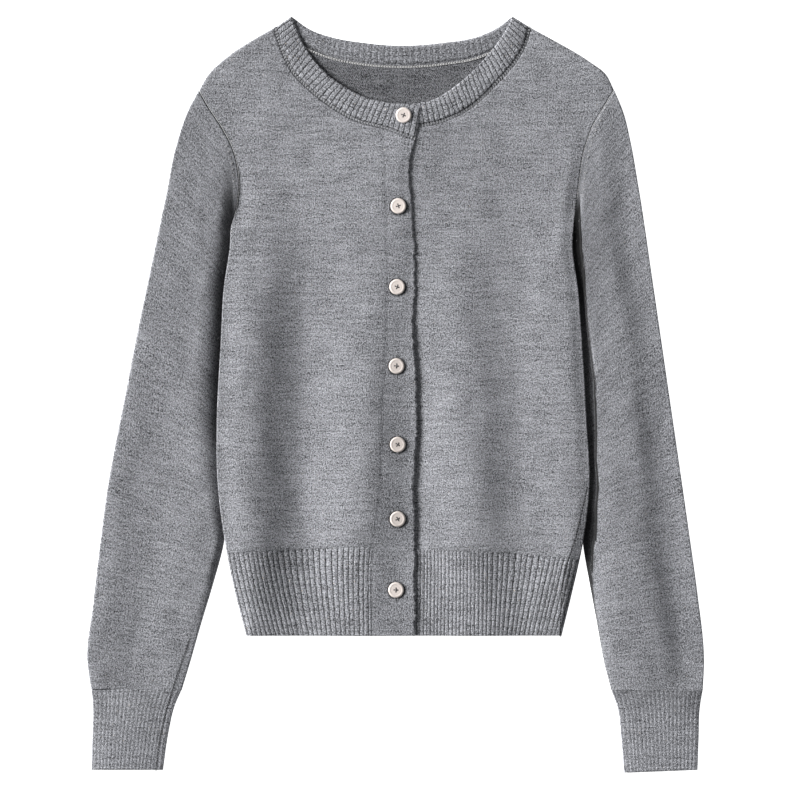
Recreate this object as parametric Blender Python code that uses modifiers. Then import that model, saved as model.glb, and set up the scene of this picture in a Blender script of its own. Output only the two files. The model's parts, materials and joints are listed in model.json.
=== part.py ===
"""A knitted button cardigan, laid flat on its back, front up and neck towards +Y.

Right and left are the wearer's: the right side is at -X. The right front lies over the left one
and is fastened to it with seven buttons. All sizes here are in millimetres until finished() makes
a mesh of them. The origin is on the surface that the garment lies on, at the middle of its box.
"""

from collections import namedtuple

import bmesh
import bpy
import numpy as np
from mathutils import Vector

MM = 0.001


def spaced(*stretches):
    """Numbers from stretches of (start, end, steps), end to end."""
    inner = [np.linspace(start, end, steps + 1)[1:] for start, end, steps in stretches]
    return np.concatenate([[stretches[0][0]], *inner])


# Driving dimensions
WALL = 2.0  # the jersey, and a rib at its crest
RIB_VALLEY = 1.3  # a rib's wall between two crests
SEAM = 0.3  # gap at a seam, and between two layers that touch
FLAT_EDGE = 2 * WALL + SEAM  # two layers pressed together, as at a sleeve's edge
FRONT_BASE = WALL + SEAM  # underside of the fronts, just clear of the back
OVERLAP = WALL + SEAM  # how far the right front rises to lie on the left band
OVERLAP_RAMP = 26.0  # width of cloth over which it rises
PUFF = 3.3  # how far a sleeve's upper layer stands up from its lower one
PUFF_RISE = 14.0
TUCK_FLAT = 20.0  # width of body that rides on the sleeve tucked under it
TUCK_RAMP = 32.0
TUCK_TOP, TUCK_BOTTOM, TUCK_FADE = 157.0, -182.0, 40.0
SPAN = 5.0  # how far the fronts start to rise before the back does: cloth spans a step loosely
CREVICE = 5.0  # width of sleeve that stays low beside the body
HEM_Y = -207.5
CUFF_Y = -253.5
UNDERARM_Y = 158.5
SHOULDER_Y = 262.0
NECK_Y = 316.0  # height of the neckband's seam on the shoulder line

RIBS_HEM_RIGHT, RIBS_HEM_LEFT = 27, 30
RIBS_NECK_RIGHT, RIBS_NECK_LEFT, RIBS_NECK_BACK = 32, 27, 46
RIBS_CUFF = 18
HEM_CROWDING = 0.16  # the left front's ribs are closer together beside the band
CUFF_MARGIN = 1.2  # plain wall beside a cuff's first and last rib
RIB_PROFILE = ((0.0, RIB_VALLEY), (0.32, WALL), (0.7, WALL))  # share of the pitch, wall

BUTTON_RADIUS = 6.6
BUTTON_STEPS = 12
BUTTON_HOLE_RADIUS = 0.75
BUTTON_HOLE_OFFSET = 1.3
BUTTON_HEIGHT = 2.6

# The body's edge, from the hem up the side seam, the armhole and the shoulder line
Outline = namedtuple("Outline", "y right left")
OUTLINE = [
    Outline(-207.5, -128.5, 143.0),
    Outline(-170.0, -138.0, 152.0),
    Outline(-126.0, -146.5, 161.5),
    Outline(-80.0, -152.5, 167.0),
    Outline(-22.0, -153.5, 164.5),
    Outline(47.0, -150.0, 160.5),
    Outline(92.0, -147.5, 157.0),
    Outline(127.0, -142.5, 152.5),
    Outline(146.0, -141.0, 153.5),
    Outline(UNDERARM_Y, -137.0, 155.0),
    Outline(180.0, -134.5, 157.5),
    Outline(209.0, -139.0, 162.0),
    Outline(232.0, -150.5, 170.0),
    Outline(247.0, -160.5, 179.0),
    Outline(SHOULDER_Y, -169.0, 188.0),
    Outline(275.5, -161.0, 181.0),
    Outline(286.0, -150.5, 167.5),
    Outline(306.5, -120.5, 133.0),
    Outline(NECK_Y, -103.5, 115.5),
]

# The right front's free edge and the seam between it and its band
Placket = namedtuple("Placket", "y edge seam")
PLACKET = [
    Placket(-207.5, 17.0, -21.0),
    Placket(-133.5, 17.5, -20.0),
    Placket(-88.0, 16.0, -13.5),
    Placket(-40.0, 18.5, -12.0),
    Placket(14.0, 18.0, -10.0),
    Placket(54.5, 16.0, -8.0),
    Placket(107.0, 17.0, -7.5),
    Placket(176.0, 13.5, -9.0),
    Placket(198.0, 12.0, -10.0),
    Placket(219.0, 18.0, -11.0),
]
UNDER_EDGE = 3.0  # the left band's edge stops this far inside the right band's

# The neckband's free edge and its seam, in step, from the shoulder line to the front
Neck = namedtuple("Neck", "edge_x edge_y seam_x seam_y")
NECK_RIGHT = [
    Neck(-89.5, 325.5, -103.5, 316.0),
    Neck(-84.0, 312.0, -98.5, 299.0),
    Neck(-77.0, 298.0, -90.0, 281.0),
    Neck(-59.5, 276.5, -74.0, 263.0),
    Neck(-42.0, 264.0, -54.0, 247.5),
    Neck(-23.0, 254.5, -32.0, 235.5),
    Neck(-3.0, 250.5, -11.0, 230.0),
    Neck(11.5, 249.5, 6.0, 224.0),
    Neck(23.0, 246.5, 18.0, 219.3),
]
NECK_LEFT = [
    Neck(100.5, 325.5, 115.5, 316.0),
    Neck(95.5, 314.5, 110.5, 299.5),
    Neck(89.0, 304.5, 102.0, 285.5),
    Neck(77.0, 289.5, 87.5, 269.0),
    Neck(63.0, 275.0, 71.0, 252.5),
    Neck(47.5, 262.5, 55.5, 242.0),
    Neck(32.0, 253.5, 37.0, 234.5),
    Neck(13.0, 250.0, 15.0, 230.5),
    Neck(-9.3, 249.0, -9.3, 229.5),
]
NECK_BACK = [
    Neck(-89.5, 325.5, -103.5, 316.0),
    Neck(-74.0, 314.5, -82.0, 302.0),
    Neck(-56.0, 308.0, -60.0, 292.5),
    Neck(-28.0, 303.0, -30.0, 286.0),
    Neck(6.0, 300.5, 6.0, 283.5),
    Neck(41.0, 303.0, 42.0, 286.0),
    Neck(70.0, 308.0, 73.0, 292.0),
    Neck(87.0, 315.5, 95.0, 302.5),
    Neck(100.5, 325.5, 115.5, 316.0),
]

# Where the hem rib starts
Hem = namedtuple("Hem", "x y")
HEM_TOP = [
    Hem(-144.9, -136.0),
    Hem(-82.0, -133.0),
    Hem(-20.0, -131.0),
    Hem(18.0, -133.0),
    Hem(90.0, -135.5),
    Hem(158.8, -141.5),
]

# A sleeve's outer and inner edge, from the armhole down to the cuff's seam
Sleeve = namedtuple("Sleeve", "outer_x outer_y inner_x inner_y")
SLEEVE_RIGHT = [
    Sleeve(-169.3, 262.0, -137.3, 158.5),
    Sleeve(-179.0, 243.5, -142.3, 147.0),
    Sleeve(-189.0, 213.5, -144.0, 128.0),
    Sleeve(-197.0, 174.0, -145.8, 113.0),
    Sleeve(-201.0, 155.0, -144.0, 99.0),
    Sleeve(-206.0, 131.0, -138.5, 82.0),
    Sleeve(-215.0, 88.0, -135.0, 44.0),
    Sleeve(-223.5, 47.0, -137.0, 4.0),
    Sleeve(-232.0, 3.0, -141.0, -44.0),
    Sleeve(-240.0, -37.0, -144.5, -90.0),
    Sleeve(-247.5, -78.0, -147.7, -128.0),
    Sleeve(-254.0, -126.0, -156.0, -160.0),
    Sleeve(-260.0, -178.5, -166.5, -195.0),
    Sleeve(-265.3, -230.0, -178.0, -235.0),
    Sleeve(-262.0, -253.0, -183.5, -253.0),
]
SLEEVE_LEFT = [
    Sleeve(188.3, 262.0, 155.3, 158.5),
    Sleeve(196.0, 243.5, 154.9, 147.0),
    Sleeve(202.5, 217.0, 154.3, 128.0),
    Sleeve(208.5, 183.0, 155.8, 113.0),
    Sleeve(211.0, 168.0, 154.0, 99.0),
    Sleeve(214.5, 145.0, 149.0, 82.0),
    Sleeve(221.0, 100.0, 147.0, 44.0),
    Sleeve(227.0, 59.0, 150.0, 4.0),
    Sleeve(233.5, 14.0, 155.0, -44.0),
    Sleeve(240.5, -34.0, 159.5, -90.0),
    Sleeve(247.0, -79.0, 163.0, -128.0),
    Sleeve(253.0, -121.0, 167.0, -160.0),
    Sleeve(259.5, -168.0, 173.0, -195.0),
    Sleeve(265.6, -232.0, 180.5, -235.0),
    Sleeve(264.5, -254.0, 185.5, -254.0),
]
CUFF_RIGHT = [
    Sleeve(-261.5, -253.3, -183.0, -253.3),
    Sleeve(-260.5, -268.0, -190.0, -268.0),
    Sleeve(-261.0, -292.0, -195.5, -292.0),
    Sleeve(-262.0, -323.0, -200.0, -323.0),
]
CUFF_LEFT = [
    Sleeve(264.0, -254.3, 186.0, -254.3),
    Sleeve(262.0, -269.0, 191.0, -269.5),
    Sleeve(261.0, -295.0, 194.0, -296.0),
    Sleeve(260.0, -323.0, 196.5, -325.5),
]

# The fronts' long soft folds, each from the chest down to the hem
Fold = namedtuple("Fold", "top_x top_y bottom_x bottom_y half_width height")
FOLDS = [
    Fold(-44.0, 190.0, -34.0, -210.0, 44.0, 3.3),
    Fold(60.0, 170.0, 62.0, -210.0, 42.0, 3.3),
    Fold(-118.0, 200.0, -112.0, -150.0, 26.0, 1.2),
    Fold(132.0, 190.0, 128.0, -150.0, 22.0, 1.0),
]
FOLD_START = 0.4  # share of its length over which a fold grows
FOLD_EDGE = 18.0  # the folds die out over this width beside the body's edge

# How a sleeve's upper layer rises from its edges and from the body, and where it sinks to its cuff
Puff = namedtuple("Puff", "from_body from_inner from_outer")
PUFFS = {"right": Puff(22.0, 12.0, 14.0), "left": Puff(12.0, 10.0, 34.0)}
CUFF_PUFF = 1.2
CUFF_SINK = 30.0

# Faces across and along the pieces
# Rows and columns stand closer together where the sides ride up over the sleeves.
EDGE_SHARE = 0.012
UNDERARM_SHARE = 0.68  # share up a body panel at the underarm and at the front's neck corner
BACK_NECK = (0.27, 0.73)  # shares across the back where the neck starts and ends
ARMHOLE_STEPS, BACK_NECK_STEPS, BAND_STEPS = 8, 9, 3
FRONT_ROWS = spaced((0, 0.48, 7), (0.48, UNDERARM_SHARE, 7), (UNDERARM_SHARE, 1, ARMHOLE_STEPS))
BACK_ROWS = spaced((0, 0.48, 5), (0.48, UNDERARM_SHARE, 6), (UNDERARM_SHARE, 1, ARMHOLE_STEPS))
FRONT_COLUMNS = spaced((0, 0.5, 5), (0.5, 0.88, 6), (0.88, 1, 2))
BACK_SIDE = spaced((0, 0.06, 1), (0.06, 0.23, 6), (0.23, BACK_NECK[0], 1))
BACK_NECK_COLUMNS = spaced((*BACK_NECK, BACK_NECK_STEPS))
BACK_COLUMNS = np.concatenate([BACK_SIDE, BACK_NECK_COLUMNS[1:-1], 1 - BACK_SIDE[::-1]])
BAND_COLUMNS = np.linspace(0, 1, BAND_STEPS + 1)
HEM_ROWS = NECKBAND_ROWS = np.array([0.0, 1.0])
ARMHOLE_SHARES = np.linspace(0, 1, ARMHOLE_STEPS + 1)
SLEEVE_SHARES = np.concatenate([[EDGE_SHARE], ARMHOLE_SHARES[1:-1], [1 - EDGE_SHARE]])
SLEEVE_ROWS = spaced((0, 0.12, 5), (0.12, 1, 13))
CUFF_ROWS = np.array([0.0, 0.3, 1.0])
CUFF_LOWER = np.array([0.012, 0.12, 0.5, 0.88, 0.988])
TUBE_INSET = 2.6  # from a tube's outer edge to its hollow's
SHARP = np.radians(40.0)

BUTTONS = [  # x, y of each centre, from the neck down
    (7.0, 240.0),
    (2.5, 162.0),
    (1.5, 92.5),
    (1.0, 24.5),
    (2.0, -43.0),
    (2.0, -107.0),
    (0.5, -168.0),
]
BUTTON_PROFILE = [  # radius, height, down the outside from the middle of the face
    (0.0, 1.7),
    (3.5, 1.7),
    (4.4, 2.4),
    (5.4, BUTTON_HEIGHT),
    (6.3, 2.2),
    (BUTTON_RADIUS, 1.3),
    (6.0, 0.3),
    (4.8, 0.0),
    (0.0, 0.0),
]

GREY = (0.27, 0.275, 0.3, 1.0)
INSIDE_GREY = (0.2, 0.205, 0.225, 1.0)
IVORY = (0.83, 0.77, 0.68, 1.0)


# Curves and patches


def ease(t):
    """0 to 1, with a level start and end."""
    t = np.clip(t, 0.0, 1.0)
    return t * t * (3.0 - 2.0 * t)


def smooth(at, values):
    """A smooth curve through values at the numbers in at, as a function."""
    at, values = np.asarray(at, float), np.asarray(values, float)
    slopes = np.gradient(values, at)

    def value(t):
        t = np.clip(np.asarray(t, float), at[0], at[-1])
        i = np.clip(np.searchsorted(at, t, side="right") - 1, 0, len(at) - 2)
        step = at[i + 1] - at[i]
        s = (t - at[i]) / step
        rise = values[i + 1] - values[i]
        bend = (slopes[i] * step - rise) * (1.0 - s) + (rise - slopes[i + 1] * step) * s
        return values[i] + s * rise + s * (1.0 - s) * bend

    return value


def through(at, points):
    """A smooth line through points at the shares in at, as a function from a share to x and y."""
    x, y = smooth(at, points[:, 0]), smooth(at, points[:, 1])
    return lambda share: np.stack([x(share), y(share)], axis=-1)


def path(points):
    """A smooth line through points, spaced by their distances."""
    points = np.asarray(points, float)
    length = np.concatenate([[0.0], np.cumsum(np.hypot(*np.diff(points, axis=0).T))])
    return through(length / length[-1], points)


def faceted(line, knots):
    """A line as straight stretches between the shares in knots, so that two pieces with unlike
    steps keep their gap along it."""
    points = line(knots)
    return lambda share: np.stack([np.interp(share, knots, points[:, axis]) for axis in (0, 1)], axis=-1)


def joined(parts, corners):
    """Paths end to end as one, with their corners at the given shares."""
    ends = np.array([0.0, *corners, 1.0])

    def point(share):
        share = np.asarray(share, float)
        i = np.clip(np.searchsorted(ends, share, side="right") - 1, 0, len(parts) - 1)
        local = (share - ends[i]) / (ends[i + 1] - ends[i])
        return np.stack([parts[k](t) for k, t in zip(i.ravel(), local.ravel())])

    return point


def straight(start, end):
    start, end = np.asarray(start, float), np.asarray(end, float)
    return lambda share: start + (end - start) * np.asarray(share, float)[..., None]


def patch(low, high, first, last, us, vs):
    """x and y of a grid between four edges: low and high run with u, first and last run with v."""
    u, v = np.asarray(us)[None, :, None], np.asarray(vs)[:, None, None]
    between_rows = (1 - v) * low(us)[None] + v * high(us)[None]
    between_columns = (1 - u) * first(vs)[:, None] + u * last(vs)[:, None]
    ends = np.array([0.0, 1.0])
    (a, b), (c, d) = low(ends), high(ends)
    corners = (1 - v) * ((1 - u) * a + u * b) + v * ((1 - u) * c + u * d)
    return between_rows + between_columns - corners


# Heights over the surface that the garment lies on


def edge_x(y, side):
    """x of the body's edge at height y, on the side named."""
    return np.interp(y, [row.y for row in OUTLINE], [getattr(row, side) for row in OUTLINE])


def inside(x, y):
    """Distance from the body's nearer edge, level across."""
    return np.minimum(x - edge_x(y, "right"), edge_x(y, "left") - x)


def lift(x, y, span=0.0):
    """How far the body's sides ride up over the sleeves that are tucked under them. A layer that
    spans the step loosely starts to rise at a distance span before it."""
    along = ease((TUCK_TOP + span - y) / TUCK_FADE) * ease((y - TUCK_BOTTOM) / TUCK_FADE)
    across = 1.0 - ease((inside(x, y) - TUCK_FLAT - span) / TUCK_RAMP)
    return (FLAT_EDGE + SEAM) * along * across


def swell(x, y):
    """The fronts' folds."""
    height = np.zeros_like(x)
    for fold in FOLDS:
        down = np.clip((fold.top_y - y) / (fold.top_y - fold.bottom_y), 0.0, 1.0)
        middle = fold.top_x + (fold.bottom_x - fold.top_x) * down
        across = ease(1.0 - np.abs(x - middle) / fold.half_width)
        height += fold.height * across * ease(down / FOLD_START)
    return height * ease(inside(x, y) / FOLD_EDGE)


def placket_x(y, column):
    return smooth([row.y for row in PLACKET], [getattr(row, column) for row in PLACKET])(y)


def under_left_front(x, y):
    return FRONT_BASE + lift(x, y, SPAN) + swell(x, y)


def under_right_front(x, y):
    """As the left front, and up on to its band beside the placket."""
    return under_left_front(x, y) + OVERLAP * ease((x - placket_x(y, "seam")) / OVERLAP_RAMP + 1.0)


def sleeve_ceiling(side):
    """The inner face of a sleeve's upper layer: low beside the body and at the edges."""
    puff = PUFFS[side]

    def height(xy, us, width):
        x, y = xy[..., 0], xy[..., 1]
        from_body = -inside(x, y) - CREVICE * ease((UNDERARM_Y + 8 - y) / 30)
        rise = ease(
            np.minimum(
                from_body / puff.from_body,
                np.minimum(us * width / puff.from_inner, (1 - us) * width / puff.from_outer),
            )
        )
        cuff = CUFF_PUFF / PUFF
        return FRONT_BASE + PUFF * rise * (cuff + (1 - cuff) * ease((y - CUFF_Y) / CUFF_SINK))

    return height


def cuff_ceiling(xy, us, width):
    return FRONT_BASE + CUFF_PUFF * ease(np.minimum(us, 1 - us) * width / PUFF_RISE)


# Bodies of cloth


def finished(name, fill, material):
    """An object from a function that fills a bmesh, in millimetres, with one closed body."""
    build = bmesh.new()
    fill(build)
    bmesh.ops.scale(build, vec=(MM, MM, MM), verts=build.verts)
    bmesh.ops.recalc_face_normals(build, faces=build.faces)
    mesh = bpy.data.meshes.new(name)
    build.to_mesh(mesh)
    build.free()
    mesh.shade_smooth()
    mesh.set_sharp_from_angle(angle=SHARP)
    mesh.materials.append(material)
    return bpy.data.objects.new(name, mesh)


def corners_at(build, xy, z):
    """A grid of new corners."""
    points = np.concatenate([xy, z[..., None]], axis=-1)
    return [[build.verts.new(point) for point in row] for row in points]


def quads(build, rows, closed=False):
    """Faces between neighbouring rows of corners; closed joins each row's end to its start."""
    for here, above in zip(rows, rows[1:]):
        for i in range(len(here) if closed else len(here) - 1):
            j = (i + 1) % len(here)
            build.faces.new((here[i], here[j], above[j], above[i]))


def layer(name, xy, underside, walls, material):
    """One layer of cloth over a grid of x and y. Its inner face follows underside(x, y), and its
    outer face stands a wall above that: one thickness, or one for each column."""

    def fill(build):
        z = underside(xy[..., 0], xy[..., 1])
        low, high = corners_at(build, xy, z), corners_at(build, xy, z + walls)
        quads(build, low)
        quads(build, high)
        quads(build, [low[0], high[0]])
        quads(build, [low[-1], high[-1]])
        for end in (0, -1):
            quads(build, [[row[end] for row in low], [row[end] for row in high]])

    return finished(name, fill, material)


def tube(name, place, upper, lower, vs, ceiling, walls, material):
    """A flattened tube, open at both ends, its lower layer flat on the surface. place(us, vs) gives
    x and y, upper and lower the shares of the width where each layer has corners, ceiling(xy, us,
    width) the upper layer's inner face, and walls that layer's thickness at its shares."""
    ends = place(np.array([0.0, 1.0]), vs)
    width = np.linalg.norm(ends[:, 1] - ends[:, 0], axis=-1)[:, None]

    def ring(build, inset, outer):
        def at(us):
            us = inset + (1 - 2 * inset) * np.asarray(us, float)
            return place(us, vs), us

        below, _ = at(lower)
        above, us = at(upper)
        edges, _ = at([0.0, 1.0])
        top = ceiling(above, us, width) + (walls if outer else 0.0)
        bottom = np.full(below.shape[:2], 0.0 if outer else WALL)
        middle = np.full((len(vs), 1), FLAT_EDGE / 2)
        xy = np.concatenate([below, edges[:, 1:], above[:, ::-1], edges[:, :1]], axis=1)
        z = np.concatenate([bottom, middle, top[:, ::-1], middle], axis=1)
        return corners_at(build, xy, z)

    def fill(build):
        skin, hollow = ring(build, 0.0, True), ring(build, TUBE_INSET / width.min(), False)
        quads(build, skin, closed=True)
        quads(build, hollow, closed=True)
        for end in (0, -1):
            quads(build, [skin[end], hollow[end]], closed=True)

    return finished(name, fill, material)


def ribbed(count, crowding=0.0):
    """Shares across a piece that has count ribs, and the wall at each. A crowding above 0 brings
    the ribs closer together at the start."""
    shares = [(i + phase) / count for i in range(count) for phase, _ in RIB_PROFILE] + [1.0]
    walls = [wall for _ in range(count) for _, wall in RIB_PROFILE] + [RIB_VALLEY]
    shares = np.array(shares)
    return shares * (1 - crowding) + crowding * shares**2, np.array(walls)


# Lines that the pieces are cut to


def by_height(x_at, low, high):
    """A line up the garment with its x worked out from y."""

    def point(share):
        y = low + (high - low) * np.asarray(share, float)
        return np.stack([x_at(y), y], axis=-1)

    return point


def outline_rows(low, high):
    return [row for row in OUTLINE if low <= row.y <= high]


def side_x(side):
    """x of the side seam, as a function of y."""
    rows = outline_rows(HEM_Y, UNDERARM_Y)
    return smooth([row.y for row in rows], [getattr(row, side) for row in rows])


def armhole(side):
    rows = outline_rows(UNDERARM_Y, SHOULDER_Y)
    return faceted(path([(getattr(row, side), row.y) for row in rows]), ARMHOLE_SHARES)


def shoulder(side, end):
    """From the armhole's top to the neckband's seam."""
    rows = outline_rows(SHOULDER_Y, NECK_Y - 1)
    return path([(getattr(row, side), row.y) for row in rows] + [tuple(end)])


def body_edge(side, low):
    """The side seam from a height low, then the armhole."""
    return joined([by_height(side_x(side), low, UNDERARM_Y), armhole(side)], [UNDERARM_SHARE])


def reverse(line):
    return lambda share: line(1 - np.asarray(share, float))


def hem_line(start, end, drop=0.0):
    """The line where jersey turns to rib, between two values of x."""
    y_at = smooth([row.x for row in HEM_TOP], [row.y for row in HEM_TOP])

    def point(share):
        x = start + (end - start) * np.asarray(share, float)
        return np.stack([x, y_at(x) - drop], axis=-1)

    return point


def neck_lines(place):
    """A neckband's seam and free edge, in step, from the shoulder, and the share where the front's
    own band starts. The seam has the straight stretches of the cloth that meets it."""
    rows, corner = NECKS[place]
    seam = np.array([(row.seam_x, row.seam_y) for row in rows])
    edge = np.array([(row.edge_x, row.edge_y) for row in rows])
    steps = np.linalg.norm(np.diff((seam + edge) / 2, axis=0), axis=1)
    at = np.concatenate([[0.0], np.cumsum(steps)]) / steps.sum()
    if corner is None:
        knots = np.linspace(0, 1, BACK_NECK_STEPS + 1)
    else:
        knots = spaced((0, at[corner], ARMHOLE_STEPS), (at[corner], 1, BAND_STEPS))
    return faceted(through(at, seam), knots), through(at, edge), 1.0 if corner is None else at[corner]


def neck_seam(place, start, end):
    """The body's cloth along a neckband between two shares of it, a seam's gap away."""
    seam, edge, _ = neck_lines(place)

    def point(share):
        share = start + (end - start) * np.asarray(share, float)
        away = seam(share) - edge(share)
        return seam(share) + SEAM * away / np.linalg.norm(away, axis=-1, keepdims=True)

    return point


def front_neck(side):
    """From the front's corner beside its band up to the shoulder line."""
    *_, corner = neck_lines(side)
    return neck_seam(side, corner - NECK_CORNER_GAP, 0.0)


def front_seam_x(side):
    """x of a front panel's edge beside its band, as a function of y."""
    if side == "right":
        return lambda y: placket_x(y, "seam") - SEAM
    return lambda y: placket_x(y, "edge") - UNDER_EDGE + SEAM


# The pieces


def hem_ends(side):
    """x and y where the hem's line meets the front's band and the side seam."""
    at_band, at_side = (HEM_TOP[2], HEM_TOP[0]) if side == "right" else (HEM_TOP[3], HEM_TOP[-1])
    return (float(front_seam_x(side)(at_band.y)), at_band.y), (float(side_x(side)(at_side.y)), at_side.y)


def front(side):
    (band_x, band_y), (edge, edge_y) = hem_ends(side)
    neck = front_neck(side)
    grid = patch(
        hem_line(band_x, edge),
        reverse(shoulder(side, neck(1.0))),
        joined([by_height(front_seam_x(side), band_y, neck(0.0)[1]), neck], [UNDERARM_SHARE]),
        body_edge(side, edge_y),
        FRONT_COLUMNS,
        FRONT_ROWS,
    )
    return layer("front_" + side, grid, UNDERSIDE[side], WALL, cloth("front_" + side))


def front_hem(side, count, crowding):
    (band_x, band_y), (edge, edge_y) = hem_ends(side)
    low_band, low_edge = float(front_seam_x(side)(HEM_Y)), float(side_x(side)(HEM_Y))
    shares, walls = ribbed(count, crowding)
    grid = patch(
        straight((low_band, HEM_Y), (low_edge, HEM_Y)),
        hem_line(band_x, edge, drop=SEAM),
        by_height(front_seam_x(side), HEM_Y, band_y - SEAM),
        by_height(side_x(side), HEM_Y, edge_y - SEAM),
        shares,
        HEM_ROWS,
    )
    return layer("hem_" + side, grid, UNDERSIDE[side], walls, cloth("hem_" + side))


def back():
    seam = neck_seam("back", 0.0, 1.0)
    right, left = shoulder("right", seam(0.0)), shoulder("left", seam(1.0))
    _, (right_x, right_y) = hem_ends("right")
    _, (left_x, left_y) = hem_ends("left")
    grid = patch(
        hem_line(right_x, left_x),
        joined([right, seam, reverse(left)], BACK_NECK),
        body_edge("right", right_y),
        body_edge("left", left_y),
        BACK_COLUMNS,
        BACK_ROWS,
    )
    return layer("back", grid, lift, WALL, cloth("back", INSIDE_GREY))


def back_hem():
    _, (right_x, right_y) = hem_ends("right")
    _, (left_x, left_y) = hem_ends("left")
    right, left = side_x("right"), side_x("left")
    grid = patch(
        straight((float(right(HEM_Y)), HEM_Y), (float(left(HEM_Y)), HEM_Y)),
        hem_line(right_x, left_x, drop=SEAM),
        by_height(right, HEM_Y, right_y - SEAM),
        by_height(left, HEM_Y, left_y - SEAM),
        BACK_COLUMNS,
        HEM_ROWS,
    )
    return layer("hem_back", grid, lift, WALL, cloth("hem_back", INSIDE_GREY))


def band(side):
    """A front band, from the hem to the neckband. The left one stops inside the right one's edges.
    Its rows meet those of the hem rib and the front beside it."""
    *_, corner = neck_lines(side)
    if side == "right":
        top = neck_seam(side, corner, 1.0)
        first, last = lambda y: placket_x(y, "seam"), lambda y: placket_x(y, "edge")
    else:
        top = neck_seam(side, 1.0, corner)
        first = lambda y: placket_x(y, "seam") + UNDER_EDGE / 2
        last = lambda y: placket_x(y, "edge") - UNDER_EDGE
    (_, low), high = hem_ends(side)[0], front_neck(side)(0.0)[1]
    beside_front = low + (high - low) * FRONT_ROWS[FRONT_ROWS <= UNDERARM_SHARE] / UNDERARM_SHARE
    rows = (np.concatenate([[HEM_Y], beside_front]) - HEM_Y) / (high - HEM_Y)
    grid = patch(
        straight((float(first(HEM_Y)), HEM_Y), (float(last(HEM_Y)), HEM_Y)),
        top,
        by_height(first, HEM_Y, top(0.0)[1]),
        by_height(last, HEM_Y, top(1.0)[1]),
        BAND_COLUMNS,
        rows,
    )
    return layer("band_" + side, grid, UNDERSIDE[side], WALL, cloth("band_" + side))


def neckband(place, count, underside):
    """A stretch of the neckband: its ribs run from the seam to the free edge."""
    seam, edge, _ = neck_lines(place)
    shares, walls = ribbed(count)
    ends = (straight(seam(share), edge(share)) for share in (0.0, 1.0))
    name = "neckband_" + place
    return layer(name, patch(seam, edge, *ends, shares, NECKBAND_ROWS), underside, walls, cloth(name))


def sleeve_edges(rows):
    outer = [(row.outer_x, row.outer_y) for row in rows]
    inner = [(row.inner_x, row.inner_y) for row in rows]
    return outer, inner


def sleeve(side, rows):
    away = -SEAM if side == "right" else SEAM
    outer, inner = sleeve_edges(rows)
    top = armhole(side)

    def place(us, vs):
        low = lambda share: top(share) + (away, 0.0)
        return patch(low, straight(inner[-1], outer[-1]), path(inner), path(outer), us, vs)

    name = "sleeve_" + side
    ceiling = sleeve_ceiling(side)
    return tube(name, place, SLEEVE_SHARES, SLEEVE_SHARES, SLEEVE_ROWS, ceiling, WALL, cloth(name))


def cuff(side, rows):
    outer, inner = sleeve_edges(rows)

    def place(us, vs):
        return patch(
            straight(inner[0], outer[0]), straight(inner[-1], outer[-1]), path(inner), path(outer), us, vs
        )

    shares, walls = ribbed(RIBS_CUFF)
    margin = CUFF_MARGIN / np.hypot(outer[-1][0] - inner[-1][0], outer[-1][1] - inner[-1][1])
    shares = margin + (1 - 2 * margin) * shares
    name = "cuff_" + side
    return tube(name, place, shares, CUFF_LOWER, CUFF_ROWS, cuff_ceiling, walls, cloth(name))


def button_mesh(material):
    """The turned profile, which a Screw modifier takes round."""
    mesh = bpy.data.meshes.new("button")
    points = [(radius * MM, 0.0, height * MM) for radius, height in BUTTON_PROFILE]
    mesh.from_pydata(points, [(i, i + 1) for i in range(len(points) - 1)], [])
    mesh.materials.append(material)
    return mesh


def hole_cutter():
    """Four pins in a square, which cut a button's holes."""
    build = bmesh.new()
    for x in (-1, 1):
        for y in (-1, 1):
            made = bmesh.ops.create_cone(
                build, cap_ends=True, segments=6, radius1=BUTTON_HOLE_RADIUS * MM,
                radius2=BUTTON_HOLE_RADIUS * MM, depth=3 * BUTTON_HEIGHT * MM,
            )
            shift = Vector((x, y, 0)) * BUTTON_HOLE_OFFSET * MM
            bmesh.ops.translate(build, vec=shift, verts=made["verts"])
    mesh = bpy.data.meshes.new("button_holes")
    build.to_mesh(mesh)
    build.free()
    cutter = bpy.data.objects.new("button_holes", mesh)
    cutter.hide_render = True
    cutter.display_type = "WIRE"
    return cutter


def button(number, place, mesh, cutter):
    """One button, level, just clear of the highest cloth under it."""
    x, y = place
    turn = np.linspace(0, 2 * np.pi, 24, endpoint=False)
    around = np.stack([x + BUTTON_RADIUS * np.cos(turn), y + BUTTON_RADIUS * np.sin(turn)])
    under = max(under_right_front(*around).max(), under_right_front(np.array([x]), np.array([y])).max())
    thing = bpy.data.objects.new(f"button_{number}", mesh)
    thing.location = Vector((x, y, under + WALL + SEAM)) * MM
    screw = thing.modifiers.new("turn", "SCREW")
    screw.axis = "Z"
    screw.steps = screw.render_steps = BUTTON_STEPS
    screw.use_merge_vertices = True
    screw.merge_threshold = 0.00001
    holes = thing.modifiers.new("holes", "BOOLEAN")
    holes.operation = "DIFFERENCE"
    holes.object = cutter
    cutter.location = thing.location
    return thing


def cloth(name, colour=GREY):
    return finish(name, colour, 0.9)


def finish(name, colour, roughness):
    material = bpy.data.materials.new(name)
    material.use_nodes = True
    shader = material.node_tree.nodes["Principled BSDF"]
    shader.inputs["Base Color"].default_value = colour
    shader.inputs["Roughness"].default_value = roughness
    shader.inputs["Metallic"].default_value = 0.0
    material.diffuse_color = colour
    return material


NECKS = {"right": (NECK_RIGHT, 6), "left": (NECK_LEFT, 7), "back": (NECK_BACK, None)}
NECK_CORNER_GAP = 0.0018  # share of a front neckband that is a seam's gap
UNDERSIDE = {"right": under_right_front, "left": under_left_front}


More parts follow.
